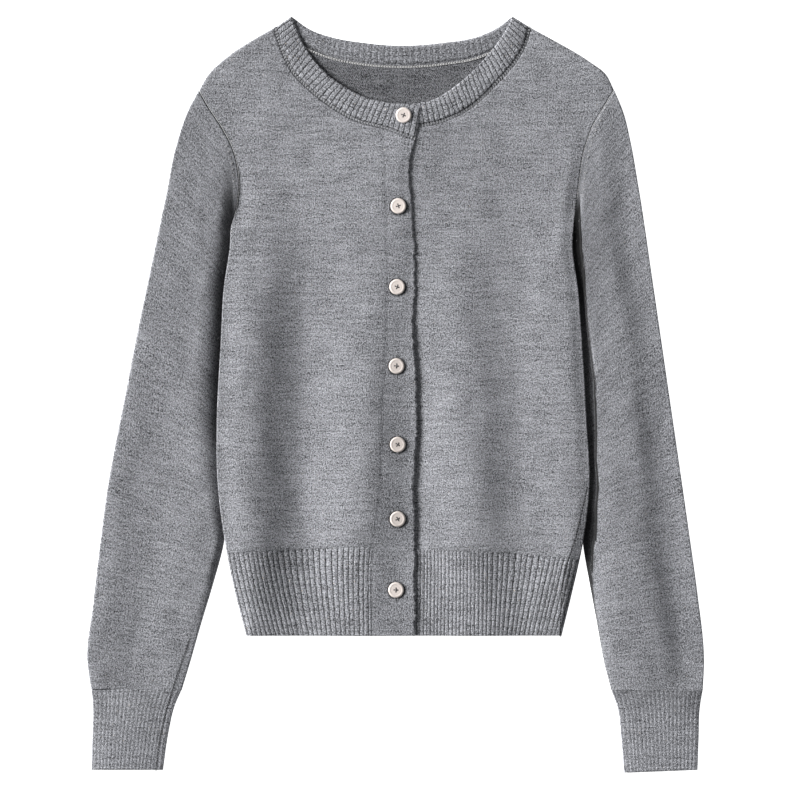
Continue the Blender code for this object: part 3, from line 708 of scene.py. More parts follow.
sideSeam = {
    # y and how far in from the left edge the side seam shows, where the cloth rolls under
    "inset": [(-207.5, 1.2), (-190, 5), (-168, 9), (-151, 10.5), (-136, 8.5), (-110, 5), (-72, 1)],
    # y, how far in from the left edge the cloth rolls down, and how far down
    "roll": [(-207.5, 1.2, 0), (-190, 5, 1.2), (-151, 10.5, 1.7), (-110, 11, 1.6), (-72, 11, 1.5),
        (0, 12, 1.7), (90, 12, 1.7), (150, 13, 2.2), (175, 12, 1.7), (205, 10, 0.6), (225, 8, 0)],
    "rollRight": [(-207.5, 10, 0), (-150, 16, 0.8), (0, 20, 1), (100, 20, 1.7), (150, 20, 2),
        (165, 18, 1.7), (190, 14, 0.7), (215, 10, 0)],
    # the right sleeve's seam, on the last of the sleeve and the cuff
    "sleeve": [(-176.5, -210), (-182.8, -228), (-192.2, -255.5), (-198, -275), (-203.5, -300), (-206, -323)],
}

buttonPlaces = [(7, 240), (2.5, 162), (1.5, 92.5), (1, 24.5), (2, -43), (2, -107), (0.5, -168)]


def outlineOf(side, low=-math.inf, high=math.inf):  # the points of one edge of the body, between two heights
    rows = np.array(body["outline"])
    rows = rows[(rows[:, 0] >= low) & (rows[:, 0] <= high)]
    return rows[:, [1 if side == "right" else 2, 0]]


def bodyEdgeX(y, side):
    points = outlineOf(side)
    return np.interp(y, points[:, 1], points[:, 0])


def insideBody(x, y):
    return np.minimum(x - bodyEdgeX(y, "right"), bodyEdgeX(y, "left") - x)


def tuckHeight(x, y):
    atBottom = ease((y - tuck["bottom"]) / tuck["bottomFade"])
    atEdge, whole = (ease((tuck["top"] - y) / tuck[fade]) for fade in ("edgeFade", "fade"))
    share, edgeRamp = tuck["edge"]
    total = 0.0
    for side, sign in (("right", 1), ("left", -1)):
        height, flat, ramp = tuck[side]
        inside = sign * (x - bodyEdgeX(y, side))
        total = total + height * (1.0 - ease((inside - flat) / ramp)) * whole
        total = total + height * share * (1.0 - ease(inside / edgeRamp)) * np.maximum(atEdge - whole, 0.0)
    return total * atBottom


def foldHeight(x, y):
    down = np.clip((creases["top"] - y) / (creases["top"] - creases["bottom"]), -0.3, 1.0)
    inner = (top + (low - top) * down for top, low in creases["x"])
    at = [bodyEdgeX(y, "right"), *inner, bodyEdgeX(y, "left")]
    levels = [columnCurve(creases["heights"], k)(y) for k in range(1, len(creases["heights"][0]))]
    return np.maximum(acrossCurve(at, levels, x), 0.0)


def placketX(y, column):
    return columnCurve(placket["rows"], column)(y)


def underLeftFront(x, y):
    rolled = 0.0
    for side, rows in (("left", sideSeam["roll"]), ("right", sideSeam["rollRight"])):
        away = np.abs(x - bodyEdgeX(y, side))
        rolled = rolled + tableAt(rows, y, 2) * (1.0 - ease(away / tableAt(rows, y, 1)))
    return body["frontBase"] + tuckHeight(x, y) + foldHeight(x, y) - rolled


def underRightFront(x, y):
    rise = ease((x - placketX(y, 2)) / body["overlapRamp"] + 1.0)
    start, length, share = body["overlapTop"]
    thick = body["overlap"] * (1.0 - share * ease((y - start) / length))
    return underLeftFront(x, y) + thick * rise


underFront = {"right": underRightFront, "left": underLeftFront}


def sideX(side):
    points = outlineOf(side, high=body["underarmY"])
    return smoothCurve(points[:, 1], points[:, 0])


def armholeLine(side):
    return linePath(outlineOf(side, body["underarmY"], body["shoulderY"]))


def shoulderLine(side, end):
    return linePath([*outlineOf(side, body["shoulderY"]), end])


def bodyEdgeLine(side, low):
    below = lineAtHeight(sideX(side), low, body["underarmY"])
    return joinLines([below, armholeLine(side)], [body["underarmShare"]])


def hemTopLine(start, end):
    def point(share):
        x = start + (end - start) * np.asarray(share, float)
        return np.stack([x, columnCurve(body["hemTop"])(x)], axis=-1)

    return point


def neckLines(place):  # the seam, the free edge, and the share where the front's own band starts
    rows = np.array(necks[place])
    edge, seam = rows[:, :2], rows[:, 2:]
    steps = np.linalg.norm(np.diff((seam + edge) / 2, axis=0), axis=1)
    at = np.concatenate([[0.0], np.cumsum(steps)]) / steps.sum()
    corner = at[necks["corner"][place]] if place in necks["corner"] else 1.0
    return lineThrough(at, seam), lineThrough(at, edge), corner


def frontSeamX(side):
    if side == "right":
        return lambda y: placketX(y, 2)
    return lambda y: placketX(y, 1) - placket["underEdge"]


def hemEnds(side):  # where the hem rib's top meets the band and the side
    rows = body["hemTop"]
    atBand, atSide = (rows[2][1], rows[0][1]) if side == "right" else (rows[3][1], rows[-1][1])
    return (float(frontSeamX(side)(atBand)), atBand), (float(sideX(side)(atSide)), atSide)


def uprightPatch(first, last, top, firstY, lastY, us, vs):  # from the hem's edge up
    low = body["hemY"]
    return coonsPatch(straightLine((float(first(low)), low), (float(last(low)), low)), top,
                      lineAtHeight(first, low, firstY), lineAtHeight(last, low, lastY), us, vs)


# Body panels

jersey = {
    "columns": 66, "rows": 180, "backColumns": 86, "backRows": 110,
    "sideRound": 1.8,
    "bandSink": 0.15, "neckSink": 0.9, "armholeSink": 0.25,  # how far the cloth goes down along its seams
    "blouse": 0.9, "blouseAt": 5.0, "blouseWidth": 9.0,  # its fullness over the hem
    "stripShade": 0.33,
    # y and how far the upper band's free edge presses the left front down
    "pressed": [(-207.5, 0.1), (-160.0, 0.5), (-120.0, 1.1), (20.0, 1.0), (60.0, 0.3), (200.0, 0.2)],
    "pressedWidth": 10.0,
    "sideSeamEnd": -80.0, "bandSeamEnd": 216.0, "seamWaver": (0.6, 7.3), "stripSoft": (1.5, 4.0),
    "blouseFade": 16.0, "hemSink": 0.3, "backUneven": (0.5, 0.2), "backEdge": (2.4, 1.0), "backNeckSink": 0.8,
    "frontFlat": (0.185, 0.46), "frontArea": 0.0585, "backFlat": (0.36, 0.46), "backArea": 0.135,
}
# each seam's two dark lines: half the gap between them, and how dark they are
linkLine, backLine, bandLine = (1.25, 1.0), (1.5, 0.8), (0.0, 0.25)
plainLine, sideLine = (0.0, 1.05), (0.0, 1.25)


def sideSeamLine():
    y = np.linspace(body["hemY"], jersey["sideSeamEnd"], 40)
    return np.stack([bodyEdgeX(y, "left") - sideInset(y), y], axis=-1)


def bandSeamLine():
    y = np.linspace(body["hemY"], jersey["bandSeamEnd"], 120)
    size, length = jersey["seamWaver"]
    return np.stack([placketX(y, 2) + size * np.sin(y / length), y], axis=-1)


def sideInset(y):
    return np.interp(y, *zip(*sideSeam["inset"]), left=0.0, right=0.0)


def seamsOf(side):  # the seams that show on a front
    last = (sideSeamLine(), *sideLine) if side == "left" else (bandSeamLine(), *bandLine)
    return [(samples(neckLines(side)[0]), *linkLine), (samples(armholeLine(side)), *plainLine), last]


def rolledStripShade(side, xy):  # painted shade on the strip beyond the side seam, where the cloth turns under and away from the light
    inset = sideInset(xy[..., 1])
    away = bodyEdgeX(xy[..., 1], "left") - xy[..., 0]
    soft, start = jersey["stripSoft"]
    shade = jersey["stripShade"] * ease((inset - away) / soft) * ease(inset / start)
    return {"crevice": shade if side == "left" else 0.0 * shade}


def frontPanel(side):
    (bandX, bandY), (edgeX, edgeY) = hemEnds(side)
    seam, _, corner = neckLines(side)
    neck = reverseLine(lambda share: seam(corner * share))  # from the band up to the shoulder
    neckLow, neckHigh = samples(neck, 2)
    us, vs = edgeShares(jersey["columns"], 140.0), edgeShares(jersey["rows"], 440.0)
    xy = coonsPatch(
        hemTopLine(bandX, edgeX),
        reverseLine(shoulderLine(side, neckHigh)),
        joinLines([lineAtHeight(frontSeamX(side), bandY, neckLow[1]), neck], [body["underarmShare"]]),
        bodyEdgeLine(side, edgeY),
        us, vs,
    )
    x, y = xy[..., 0], xy[..., 1]
    distances = edgeDistances(xy)
    bottom = underFront[side](x, y)
    blouse = jersey["blouse"] * groove(distances["low"] - jersey["blouseAt"], jersey["blouseWidth"])
    blouse = blouse * ease(distances["first"] / jersey["blouseFade"])
    blouse = blouse - jersey["hemSink"] * groove(distances["low"], 1.5)
    top = bottom + body["wall"] + clothUneven(x, y) + blouse
    if side == "left":  # pressed down by the free edge of the upper band
        top = top - tableAt(jersey["pressed"], y) * groove(distances["first"], jersey["pressedWidth"])
    onNeck = vs[:, None] > body["underarmShare"]  # below it the first edge is the band's seam
    seams = np.where(onNeck, jersey["neckSink"], jersey["bandSink"]) * groove(distances["first"], 1.6)
    armhole = np.where(onNeck, jersey["armholeSink"], 0.0) * groove(distances["last"], 0.9)
    top = top - np.maximum(seams, armhole)
    share = np.where(onNeck, 1.0, np.maximum(squareRound(distances["last"], jersey["sideRound"]), 0.12))
    share = share * np.maximum(quarterRound(distances["high"], 2.0), 0.2)
    fields = onTop({**seamField(xy, seamsOf(side)), **rolledStripShade(side, xy)})
    piece = clothShell("front_" + side + "_cloth", xy, bottom + (top - bottom) * share, bottom, xy,
                       [jerseyKnit, jerseyPurl], fields)
    addPiece(piece, "jersey", "front_" + side, flat=jersey["frontFlat"], area=jersey["frontArea"],
             rests_on=["back"])


def backPanel():
    seam, _, _ = neckLines("back")
    (rightX, rightY), (leftX, leftY) = hemEnds("right")[1], hemEnds("left")[1]
    us, vs = edgeShares(jersey["backColumns"], 300.0), edgeShares(jersey["backRows"], 440.0)
    neckRight, neckLeft = samples(seam, 2)
    top = joinLines([shoulderLine("right", neckRight), seam, reverseLine(shoulderLine("left", neckLeft))],
                    body["neckShares"])
    right, left = bodyEdgeLine("right", rightY), bodyEdgeLine("left", leftY)
    xy = coonsPatch(hemTopLine(rightX, leftX), top, right, left, us, vs)
    x, y = xy[..., 0], xy[..., 1]
    distances = edgeDistances(xy)
    low = tuckHeight(x, y)
    share, most = jersey["backUneven"]
    high = low + body["wall"] + share * np.minimum(clothUneven(x, y), most)
    high, low = roundedEdges(distances, high, low, dict.fromkeys(("first", "last"), jersey["backEdge"]))
    atNeck = (us[None, :] > body["neckShares"][0]) & (us[None, :] < body["neckShares"][1])
    high = high - np.where(atNeck, jersey["backNeckSink"], 0.0) * groove(distances["high"], 1.4)
    fields = onTop(seamField(xy, [(samples(seam), *backLine)]))
    piece = clothShell("back_cloth", xy, high, low, xy, [jerseyPurl, jerseyKnit], fields)
    addPiece(piece, "purl", "back", flat=jersey["backFlat"], area=jersey["backArea"], rests_on=["floor"])


frontPanel("left")
frontPanel("right")
backPanel()
print("stage: body panels made")


# Ribs: Geometry Nodes carve the valleys out of a plain shell

def makeRibTree():
    tree, given, end = newGroup("carveRibs", "GeometryNodeTree",
                                {"Geometry": "Geometry", "Depth": 0.0008, "Crest": 0.5, "Face": "Material",
                                 "Under": "Material"}, {"Geometry": "Geometry"})
    phase, weight = (addNode(tree, "GeometryNodeInputNamedAttribute", {"Name": name}, data_type="FLOAT")
                     for name in ("ribPhase", "ribWeight"))
    crest = ((phase * tau).math("COSINE") * 0.5 + 0.5).math("POWER", given["Crest"])
    carve = (crest * -1.0 + 1.0) * (weight * given["Depth"])
    offset = addNode(tree, "ShaderNodeCombineXYZ", {2: carve})
    moved = addNode(tree, "GeometryNodeSetPosition", {"Geometry": given["Geometry"], "Offset": offset})
    real = addNode(tree, "GeometryNodeRealizeInstances", {0: moved})
    slot = addNode(tree, "GeometryNodeInputMaterialIndex")
    isUnder = addNode(tree, "FunctionNodeCompare", {2: slot, 3: 1}, data_type="INT", operation="EQUAL")
    faced = addNode(tree, "GeometryNodeSetMaterial", {"Geometry": real, "Material": given["Face"]})
    join(addNode(tree, "GeometryNodeSetMaterial", {"Geometry": faced, "Selection": isUnder,
                                                   "Material": given["Under"]}), end[0])
    return tree


def applyTree(piece, tree, values):  # runs a node tree on a piece and keeps the result as a plain mesh
    modifier = piece.modifiers.new(tree.name, "NODES")
    modifier.node_group = tree
    for item in tree.interface.items_tree:
        if item.item_type == "SOCKET" and item.in_out == "INPUT" and item.name in values:
            modifier[item.identifier] = values[item.name]
    graph = bpy.context.evaluated_depsgraph_get()
    mesh = bpy.data.meshes.new_from_object(piece.evaluated_get(graph))
    piece.modifiers.remove(modifier)
    piece.data = mesh
    return piece


carveRibs = makeRibTree()
ribLook = {"crest": 0.32, "wander": 0.07, "pointsPerRib": 7, "waleWidth": 3.5}


def ribPhases(shares, count, seed, crowding=0.0):
    # rib number at each share: a little uneven, and closer together at the start where crowded
    rng = np.random.default_rng(seed)
    at = np.linspace(0, 1, count + 1)
    jitter = rng.normal(0, ribLook["wander"], count + 1)
    jitter[[0, -1]] = 0
    placed = at * (1 - crowding) + crowding * at**2 + jitter / count
    return np.interp(shares, placed, np.arange(count + 1.0))


def ribShares(count, seed, crowding=0.0):
    fine = np.linspace(0, 1, 20001)
    phases = ribPhases(fine, count, seed, crowding)
    return np.interp(np.linspace(0, count, count * ribLook["pointsPerRib"] + 1), phases, fine)


def ribFade(fromJoin, fromEdge, join=(1.2, 0.35), edge=(1.2, 0.2)):  # the ribs end at both long edges
    fade = np.clip(fromJoin / join[0], join[1], 1.0)
    return fade * np.maximum(quarterRound(fromEdge, edge[0]), edge[1])


def ribUv(phase, along):
    return np.stack([ribLook["waleWidth"] * (phase + 0.25), along], axis=-1)


def carve(piece, depth, materials):
    return applyTree(piece, carveRibs, {"Depth": depth * mm, "Crest": ribLook["crest"], "Face": materials[0],
                                        "Under": materials[1]})


def ribbedShell(name, xy, top, bottom, phase, heights, weights, materials, depth, seams=(), shades=None):
    fields = {"ribPhase": (phase, phase), "ribWeight": weights,
              **onTop({**seamField(xy, seams), **(shades or {})})}
    piece = clothShell(name, xy, top, bottom, ribUv(phase, heights), materials, fields)
    return carve(piece, depth, materials)


hem = {
    # how many ribs, the seed of their unevenness, and how much closer they stand at the start
    "ribs": {"right": (27, 21, 0.0), "left": (38, 22, 0.16), "back": (58, 23, 0.0)},
    "rows": 24, "edge": 1.5, "depth": 0.4,
    "flat": {"right": (0.12, 0.076), "left": (0.138, 0.076), "back": (0.303, 0.076)},
    "lean": {"right": (0.0, 0.75), "left": (0.45, 0.85)},  # shares over which the ribs start to lean
    "backWeights": (-0.55, 0.75),
}


def ribTopLine(lowStart, lowEnd, start, end, lean):
    # the ribs run upright beside the band, and lean further out
    top = hemTopLine(0.0, 1.0)

    def point(share):
        share = np.asarray(share, float)
        x = lowStart + (lowEnd - lowStart) * share + (start - lowStart) * (1 - share)
        return top(x + (end - lowEnd) * ease((share - lean[0]) / (lean[1] - lean[0])))

    return point


def hemPiece(place):
    onBack = place == "back"
    if onBack:
        first, last = sideX("right"), sideX("left")
        start, end = hemEnds("right")[1], hemEnds("left")[1]
        topLine = hemTopLine(start[0], end[0])
    else:
        first, last = frontSeamX(place), sideX(place)
        start, end = hemEnds(place)
        lows = (float(edge(body["hemY"])) for edge in (first, last))
        topLine = ribTopLine(*lows, start[0], end[0], hem["lean"][place])
    us, vs = ribShares(*hem["ribs"][place]), edgeShares(hem["rows"], 72.0)
    xy = uprightPatch(first, last, topLine, start[1], end[1], us, vs)
    x, y = xy[..., 0], xy[..., 1]
    distances = edgeDistances(xy)
    bottom = tuckHeight(x, y) if onBack else underFront[place](x, y)
    top = bottom + body["wall"] + (0.0 if onBack else 0.15 + 0.6 * clothUneven(x, y))
    edges = {"first": (2.2, 1.0), "last": (2.2, 1.0)} if onBack else {"last": (2.4, 0.0)}
    top, bottom = roundedEdges(distances, top, bottom, {"low": (hem["edge"], 0.5), **edges})
    phase = np.broadcast_to(ribPhases(us, *hem["ribs"][place]), top.shape)
    fade = ribFade(distances["high"], distances["low"])
    weights = [share * fade for share in (hem["backWeights"] if onBack else (-1.0, 0.0))]
    piece = ribbedShell("hem_" + place + "_rib", xy, top, bottom, phase, y, weights,
                        [ribInside, hemRib] if onBack else [hemRib, ribInside], hem["depth"],
                        [(sideSeamLine(), *sideLine)] if place == "left" else [],
                        None if onBack else rolledStripShade(place, xy))
    addPiece(piece, "rib", "hem_" + place, flat=hem["flat"][place],
             rests_on=["floor" if onBack else "hem_back"])


neckband = {
    "rows": 14, "width": 21.0, "edge": 1.6, "rise": 0.5, "backRise": 1.5, "depth": 0.27,
    "ribs": {"right": (34, 31), "left": (35, 32), "back": (41, 33)},  # how many, and their seed
    "lengths": {"right": 0.157, "left": 0.153, "back": 0.217},
    "lap": (1.1, 21.0, 9.0),  # how much thinner the left end is under the right one, and over what length
}


def neckbandPiece(place):
    onBack = place == "back"
    seam, edge, _ = neckLines(place)
    ribs = neckband["ribs"][place]
    us, vs = ribShares(*ribs), edgeShares(neckband["rows"], neckband["width"])
    firstEdge, lastEdge = (straightLine(*ends) for ends in zip(samples(seam, 2), samples(edge, 2)))
    xy = coonsPatch(seam, edge, firstEdge, lastEdge, us, vs)
    x, y = xy[..., 0], xy[..., 1]
    distances = edgeDistances(xy)
    low = distances["low"]
    if onBack:
        bottom = 0.0 * x
        top = body["wall"] + neckband["backRise"] * ease(low / 14.0) * ease(distances["first"] / 30) * ease(
            distances["last"] / 30)
    else:
        bottom = underFront[place](x, y)
        crown = neckband["rise"] * np.sin(np.pi * np.clip(low / neckband["width"], 0, 1))
        top = bottom + body["wall"] + 0.2 + crown + 0.5 * clothUneven(x, y)
    if place == "left":
        thinner, start, length = neckband["lap"]
        top = top - thinner * (1.0 - ease((distances["last"] - start) / length))
    edges = {"high": (neckband["edge"], 0.0 if onBack else 0.25), "first": (1.6, 0.0),
             "last": (1.6 if onBack else 2.6, 0.0)}
    top, bottom = roundedEdges(distances, top - groove(low, 1.5), bottom, edges)
    phase = np.broadcast_to(ribPhases(us, *ribs), top.shape)
    fade = ribFade(low, distances["high"], (1.6, 0.15), (1.5, 0.25))
    piece = ribbedShell("neckband_" + place + "_rib", xy, top, bottom, phase, low,
                        (-fade, (0.7 if onBack else 0.0) * fade),
                        [ribInside, neckRib] if onBack else [neckRib, ribInside],
                        neckband["depth"], [(samples(seam), linkLine[0], 0.5 if onBack else 1.0)])
    addPiece(piece, "rib", "neckband_" + place, flat=(neckband["lengths"][place], 0.021),
             rests_on=["floor" if onBack else "neckband_back"])


for place in ("left", "right", "back"):
    hemPiece(place)
for place in ("back", "left", "right"):
    neckbandPiece(place)
print("stage: hem and neckband ribs made")


# Front bands

bands = {
    "grid": {"right": (26, 230), "left": (12, 110)}, "width": {"right": 0.030, "left": 0.024},
    "edge": 2, "wales": 2.6, "waleDepth": 0.07,
    "ragged": 0.6, "seed": 9,
    "raggedFrom": 0.8, "rippleFade": 20,
    "ripple": [(0.5, 17, 1.3), (0.35, 6.1, 0)],  # waves of the free edge: size, length, start
    "dimple": 0.55, "dimpleSpread": 110,  # how far a button presses the band in
    # painted shadow round each button: the rings' shift, the soft ring's darkness, the thin line's radius and
    # darkness, and the soft ring's radius and width
    "ringShift": (0.2, -0.3), "ringShade": 0.8, "ringLine": (7.1, 0.75), "ringDark": (6.9, 1.3),
    "lowered": (1.1, 200, 14),  # the lower band's top end: how far down, from which height, over what length
    "curlWidth": 14,
    # y and how far the free edge curls up
    "curl": [(-207.5, 0.2), (-160, 0.2), (-130, 0), (-75, 0), (-40, 0), (-10, 0.1), (24, 0.3), (45, 0.2),
        (72, -0.3), (100, -0.6), (130, -0.8), (170, -0.7), (200, -0.6), (220, -0.2)],
}


def buttonShadowRing(x, y):  # a painted shadow ring round a button, drawn as a dark seam line
    around = np.linspace(0, tau, 33)
    (shiftX, shiftY), radius = bands["ringShift"], bands["ringLine"][0]
    return np.stack([x + shiftX + radius * np.cos(around), y + shiftY + radius * np.sin(around)], axis=-1)


def frontBand(side):
    upper = side == "right"
    seam, _, corner = neckLines(side)
    start, end = (corner, 1.0) if upper else (1.0, corner)
    inset = 0.0 if upper else placket["underEdge"]

    def topLine(share):
        return seam(start + (end - start) * np.asarray(share, float))

    def first(y):
        return placketX(y, 2) + inset / 2

    def last(y):
        return placketX(y, 1) - inset

    columns, rows = bands["grid"][side]
    us, vs = edgeShares(columns, 30.0), edgeShares(rows, 430.0)
    (_, firstY), (_, lastY) = samples(topLine, 2)
    xy = uprightPatch(first, last, topLine, firstY, lastY, us, vs)
    x, y = xy[..., 0], xy[..., 1]
    if upper:  # the free edge is a little uneven
        ripple = sum(size * np.sin(y / length + start) for size, length, start in bands["ripple"])
        ragged = np.random.default_rng(bands["seed"]).normal(0, bands["ragged"], len(vs))[:, None]
        atEdge = ease((us[None, :] - bands["raggedFrom"]) / 0.2)
        ripple = ripple * ease(us[None, :] * 2 - 1) + ragged * atEdge
        x = x + ripple * ease((lastY - y) / bands["rippleFade"])
        xy = np.stack([x, y], axis=-1)
    distances = edgeDistances(xy)
    bottom = underFront[side](x, y)
    top = bottom + body["wall"] + 0.8 * clothUneven(x, y)
    seams, pressed = [], 0.0 * x
    if upper:
        curl = columnCurve(bands["curl"])(y) * ease(1 - distances["last"] / bands["curlWidth"])
        top = top + bands["waleDepth"] * np.cos(distances["first"] * tau / bands["wales"]) + curl
        seams = [(bandSeamLine(), *bandLine), (samples(seam), *linkLine)]
        # painted shadow round each button: a thin dark line, and a soft dark ring kept in pressed
        (shiftX, shiftY), (ringAt, ringWidth) = bands["ringShift"], bands["ringDark"]
        for bx, by in buttonPlaces:
            top = top - bands["dimple"] * np.exp(-((x - bx) ** 2 + (y - by) ** 2) / bands["dimpleSpread"])
            seams.append((buttonShadowRing(bx, by), 0.0, bands["ringLine"][1]))
            away = np.hypot(x - bx - shiftX, y - by - shiftY)
            pressed = np.maximum(pressed, bands["ringShade"] * groove(away - ringAt, ringWidth))
    else:
        depth, high, length = bands["lowered"]
        top = top - depth * ease((y - high) / length)
    top, bottom = roundedEdges(distances, top, bottom, {"low": (1.5, 0.5), "last": (bands["edge"], 0.05)})
    uv = np.stack([distances["first"], y], axis=-1)
    piece = clothShell("band_" + side + "_knit", xy, top, bottom, uv, [bandKnit, jerseyPurl],
                       onTop({**seamField(xy, seams), "crevice": pressed}))
    addPiece(piece, "band_knit", "band_" + side, flat=(bands["width"][side], 0.436),
             rests_on=["band_left" if upper else "hem_back"])


frontBand("left")
frontBand("right")
print("stage: front bands made")


# Sleeves and cuffs

sleeves = {
    # outer x, outer y, inner x, inner y, from the armhole down to the cuff
    "right": [(-169.3, 262, -137.2, 158.5), (-179, 243.5, -140.2, 148), (-189, 213.5, -139.8, 134),
        (-197, 174, -139.5, 116), (-201, 155, -139, 99), (-206, 131, -137.5, 82), (-215, 88, -135, 44),
        (-223.5, 47, -137, 4), (-232, 3, -141, -44), (-240, -37, -144.5, -90), (-247.5, -78, -147.7, -128),
        (-254, -126, -156, -160), (-260, -178.5, -166.5, -195), (-265.3, -230, -178, -235),
        (-262, -253, -183.5, -253)],
    "left": [(188.3, 262, 155.2, 158.5), (196, 243.5, 152.9, 148), (202.5, 217, 150.5, 134),
        (208.5, 183, 149.5, 116), (211, 168, 149, 99), (214.5, 145, 148, 82), (221, 100, 147, 44),
        (227, 59, 150, 4), (233.5, 14, 155, -44), (240.5, -34, 158.6, -90), (247, -79, 161.2, -128),
        (253, -121, 166.6, -160), (259.5, -168, 173, -195), (265.6, -232, 180.5, -235),
        (264.5, -254, 185.5, -254)],
    "cuffRight": [(-262, -253, -183.5, -253), (-260.5, -268, -190, -268), (-261, -292, -195.5, -292),
        (-262, -323, -200, -323)],
    "cuffLeft": [(264.5, -254, 185.5, -254), (262, -269, 191, -269.5), (261, -295, 194, -296),
        (260, -323, 196.5, -325.5)],
    "flatEdge": 4.3,
    "edgeRound": 2.5,
    "innerRound": 6, "underRound": 2.6, "endHeight": 0.35,
    "wallSpread": 1.6,  # how much narrower than the wall asks the hollow is
    "uneven": (1.1, 31, 0.05),  # how much, how far along in the noise, and over what share it starts
    "armholeGap": 0.15,
    "usualWidth": 90, "usualLength": 430, "uvLength": 440,
    "freeInner": (0.71, 0.08),  # share down from which the inner edge is free, and over what share it starts
    # heights over the flat edge: rows down the sleeve, columns from the inner edge to the outer one
    "across": {"right": (0, 0.12, 0.35, 0.55, 0.7, 0.88, 1), "left": (0, 0.12, 0.3, 0.5, 0.68, 0.85, 1)},
    "heights": {
        "right": [(0, 0.4, 0.4, 0.4, 0.4, 0.4, 0.4, 0.3), (0.12, 5, 5, 4.4, 4.2, 4.5, 4.9, 5),
            (0.3, 7.2, 7.4, 7, 6.6, 7.2, 7.7, 7.7), (0.5, 7, 7.2, 6.9, 6.3, 6.6, 7.6, 7.6),
            (0.7, 5, 5.4, 5.2, 4.5, 5.3, 6.9, 6.9), (0.9, 3.6, 4, 4.1, 3.6, 4.9, 6.6, 6.5),
            (1, 0.8, 1.6, 1.9, 1.3, 2, 2.8, 2.6)],
        "left": [(0, 1.8, 2, 2, 1.8, 1.4, 0.8, 0.3), (0.12, 3.2, 4, 4.2, 3.3, 2, 0.5, -0.2),
            (0.3, 3.2, 4, 4.2, 3.8, 2.7, 0.8, -0.2), (0.5, 3, 4.1, 4.7, 4.4, 3.2, 0.9, -0.3),
            (0.7, 3.4, 4.9, 5.8, 5.1, 3.2, 0.6, -0.3), (0.9, 4, 5.4, 6, 4.8, 2, 0.5, 0.3),
            (1, 0.8, 1.6, 2, 2, 1.4, 0.8, 0.4)],
    },
    # where the left sleeve falls off to its outer half: share down the sleeve, share across, how much steeper
    "fall": [(0.02, 0.7, 0), (0.1, 0.7, 1.1), (0.25, 0.75, 1.6), (0.38, 0.78, 1.5), (0.5, 0.74, 1.4),
        (0.7, 0.69, 1.7), (0.87, 0.7, 2.3), (0.96, 0.7, 2), (1, 0.7, 0.3)],
    "fallWidth": 0.2,
    # beside the body: y, the share of its height that the sleeve loses, how far it stays down, how far it
    # rises, how far the painted shade reaches
    "dip": {"right": [(-250, 0, 0, 9, 0), (-190, 0.1, 0, 9, 0), (-150, 0.5, 0, 9, 0),
        (-125, 0.75, 0, 9, 0.5), (-91, 0.45, 0, 12, 0.5), (-56, 0.5, 0, 17, 1), (-22, 0.9, 0, 23, 2),
        (47, 1, 0, 21, 3), (150, 1, 0, 17, 4), (165, 0.8, 0, 15, 3), (178, 0.4, 0, 15, 1),
        (192, 0.15, 0, 15, 0), (203, 0, 0, 15, 0)],
            "left": [(-250, 0, 0, 4, 0), (-200, 0.1, 0, 4, 0), (-176, 0.6, 0.3, 2, 1.2),
                (-159.5, 0.9, 0.9, 1.2, 2.4), (-142.3, 1, 5.2, 1.2, 6.7), (-125, 1, 9.2, 1.2, 10.7),
                (-108, 1, 8, 1.2, 9.5), (-98, 1, 6.6, 1.2, 8.1), (-90.7, 1, 6.4, 1.2, 7.9),
                (-73.5, 1, 5.9, 1.2, 7.4), (-56, 1, 5.2, 1.2, 6.7), (-39, 1, 6.2, 1.2, 7.7),
                (-22, 1, 6.8, 1.2, 8.3), (12.5, 1, 7.4, 1.2, 9.3), (47, 1, 5.7, 1.2, 7.5),
                (81, 1, 4.3, 1.2, 6.2), (98.5, 1, 5, 1.2, 6.9), (116, 1, 6, 1.2, 7.5),
                (133, 1, 5.6, 1.2, 7.1), (150, 1, 3.5, 1.3, 5), (165, 0.55, 1, 4, 2.6),
                (180, 0.1, 0.5, 7, 0), (192, 0, 0, 8, 0)]},
    "dipShape": {"right": (1, 2), "left": (1.4, 1.6)},
    # painted shade on the sleeve beside the body: how dark, and over what width that fades
    "rightDark": (0.82, 9),
    "leftReach": 0.8,
    "shadeGain": 1.3, "shadeSoft": 2.5, "darkest": 1.1,
    # y, darkness of the left sleeve's painted shade: more where no real shadow falls
    "leftDark": [(-105, 1.03), (-70, 0.82), (50, 0.82), (95, 1.05), (150, 1.1)],
    # y, width of a strip at the right underarm that the painted shade leaves out
    "strip": [(146, 0), (156, 3), (166, 5.5), (176, 6.5), (203, 7)],
    # painted shade on the left sleeve's free inner edge, which faces the light: share down, darkness, how far
    # in
    "rim": [(0.66, 0, 9), (0.69, 1, 10), (0.73, 1.08, 13), (0.775, 1.08, 5), (0.82, 1, 3), (0.9, 0.7, 2.2),
        (1, 0.5, 2)],
    "flat": {"right": (0.205, 0.5, 0.084), "left": (0.19, 0.5, 0.0775)},  # all round, along, and the area
    # painted shade made stronger on the left sleeve's steep rise out of the gap
    "wallShade": 0.36,
    "thinnest": 3.6,
    "settle": 0.5,
    "fineShares": (0.05, 0.29), "fineColumns": 38,  # where the body's edge crosses the sleeve
    "columns": 38, "rows": 160, "wall": 1.7,
    "cuffPuff": 1.6, "cuffLift": 0.6, "cuffUneven": 0.4, "cuffRows": 20, "cuffDepth": 0.3, "cuffWall": 1.5,
    "cuffLength": 70, "cuffFade": 34, "cuffEdge": 40,
    "cuffRibs": {"right": (20, 41), "left": (20, 42)},  # how many, and their seed
    # painted shade at the cuffs' top, under the end of the sleeve
    "cuffShade": {"right": 0.06, "left": 0.3},
}


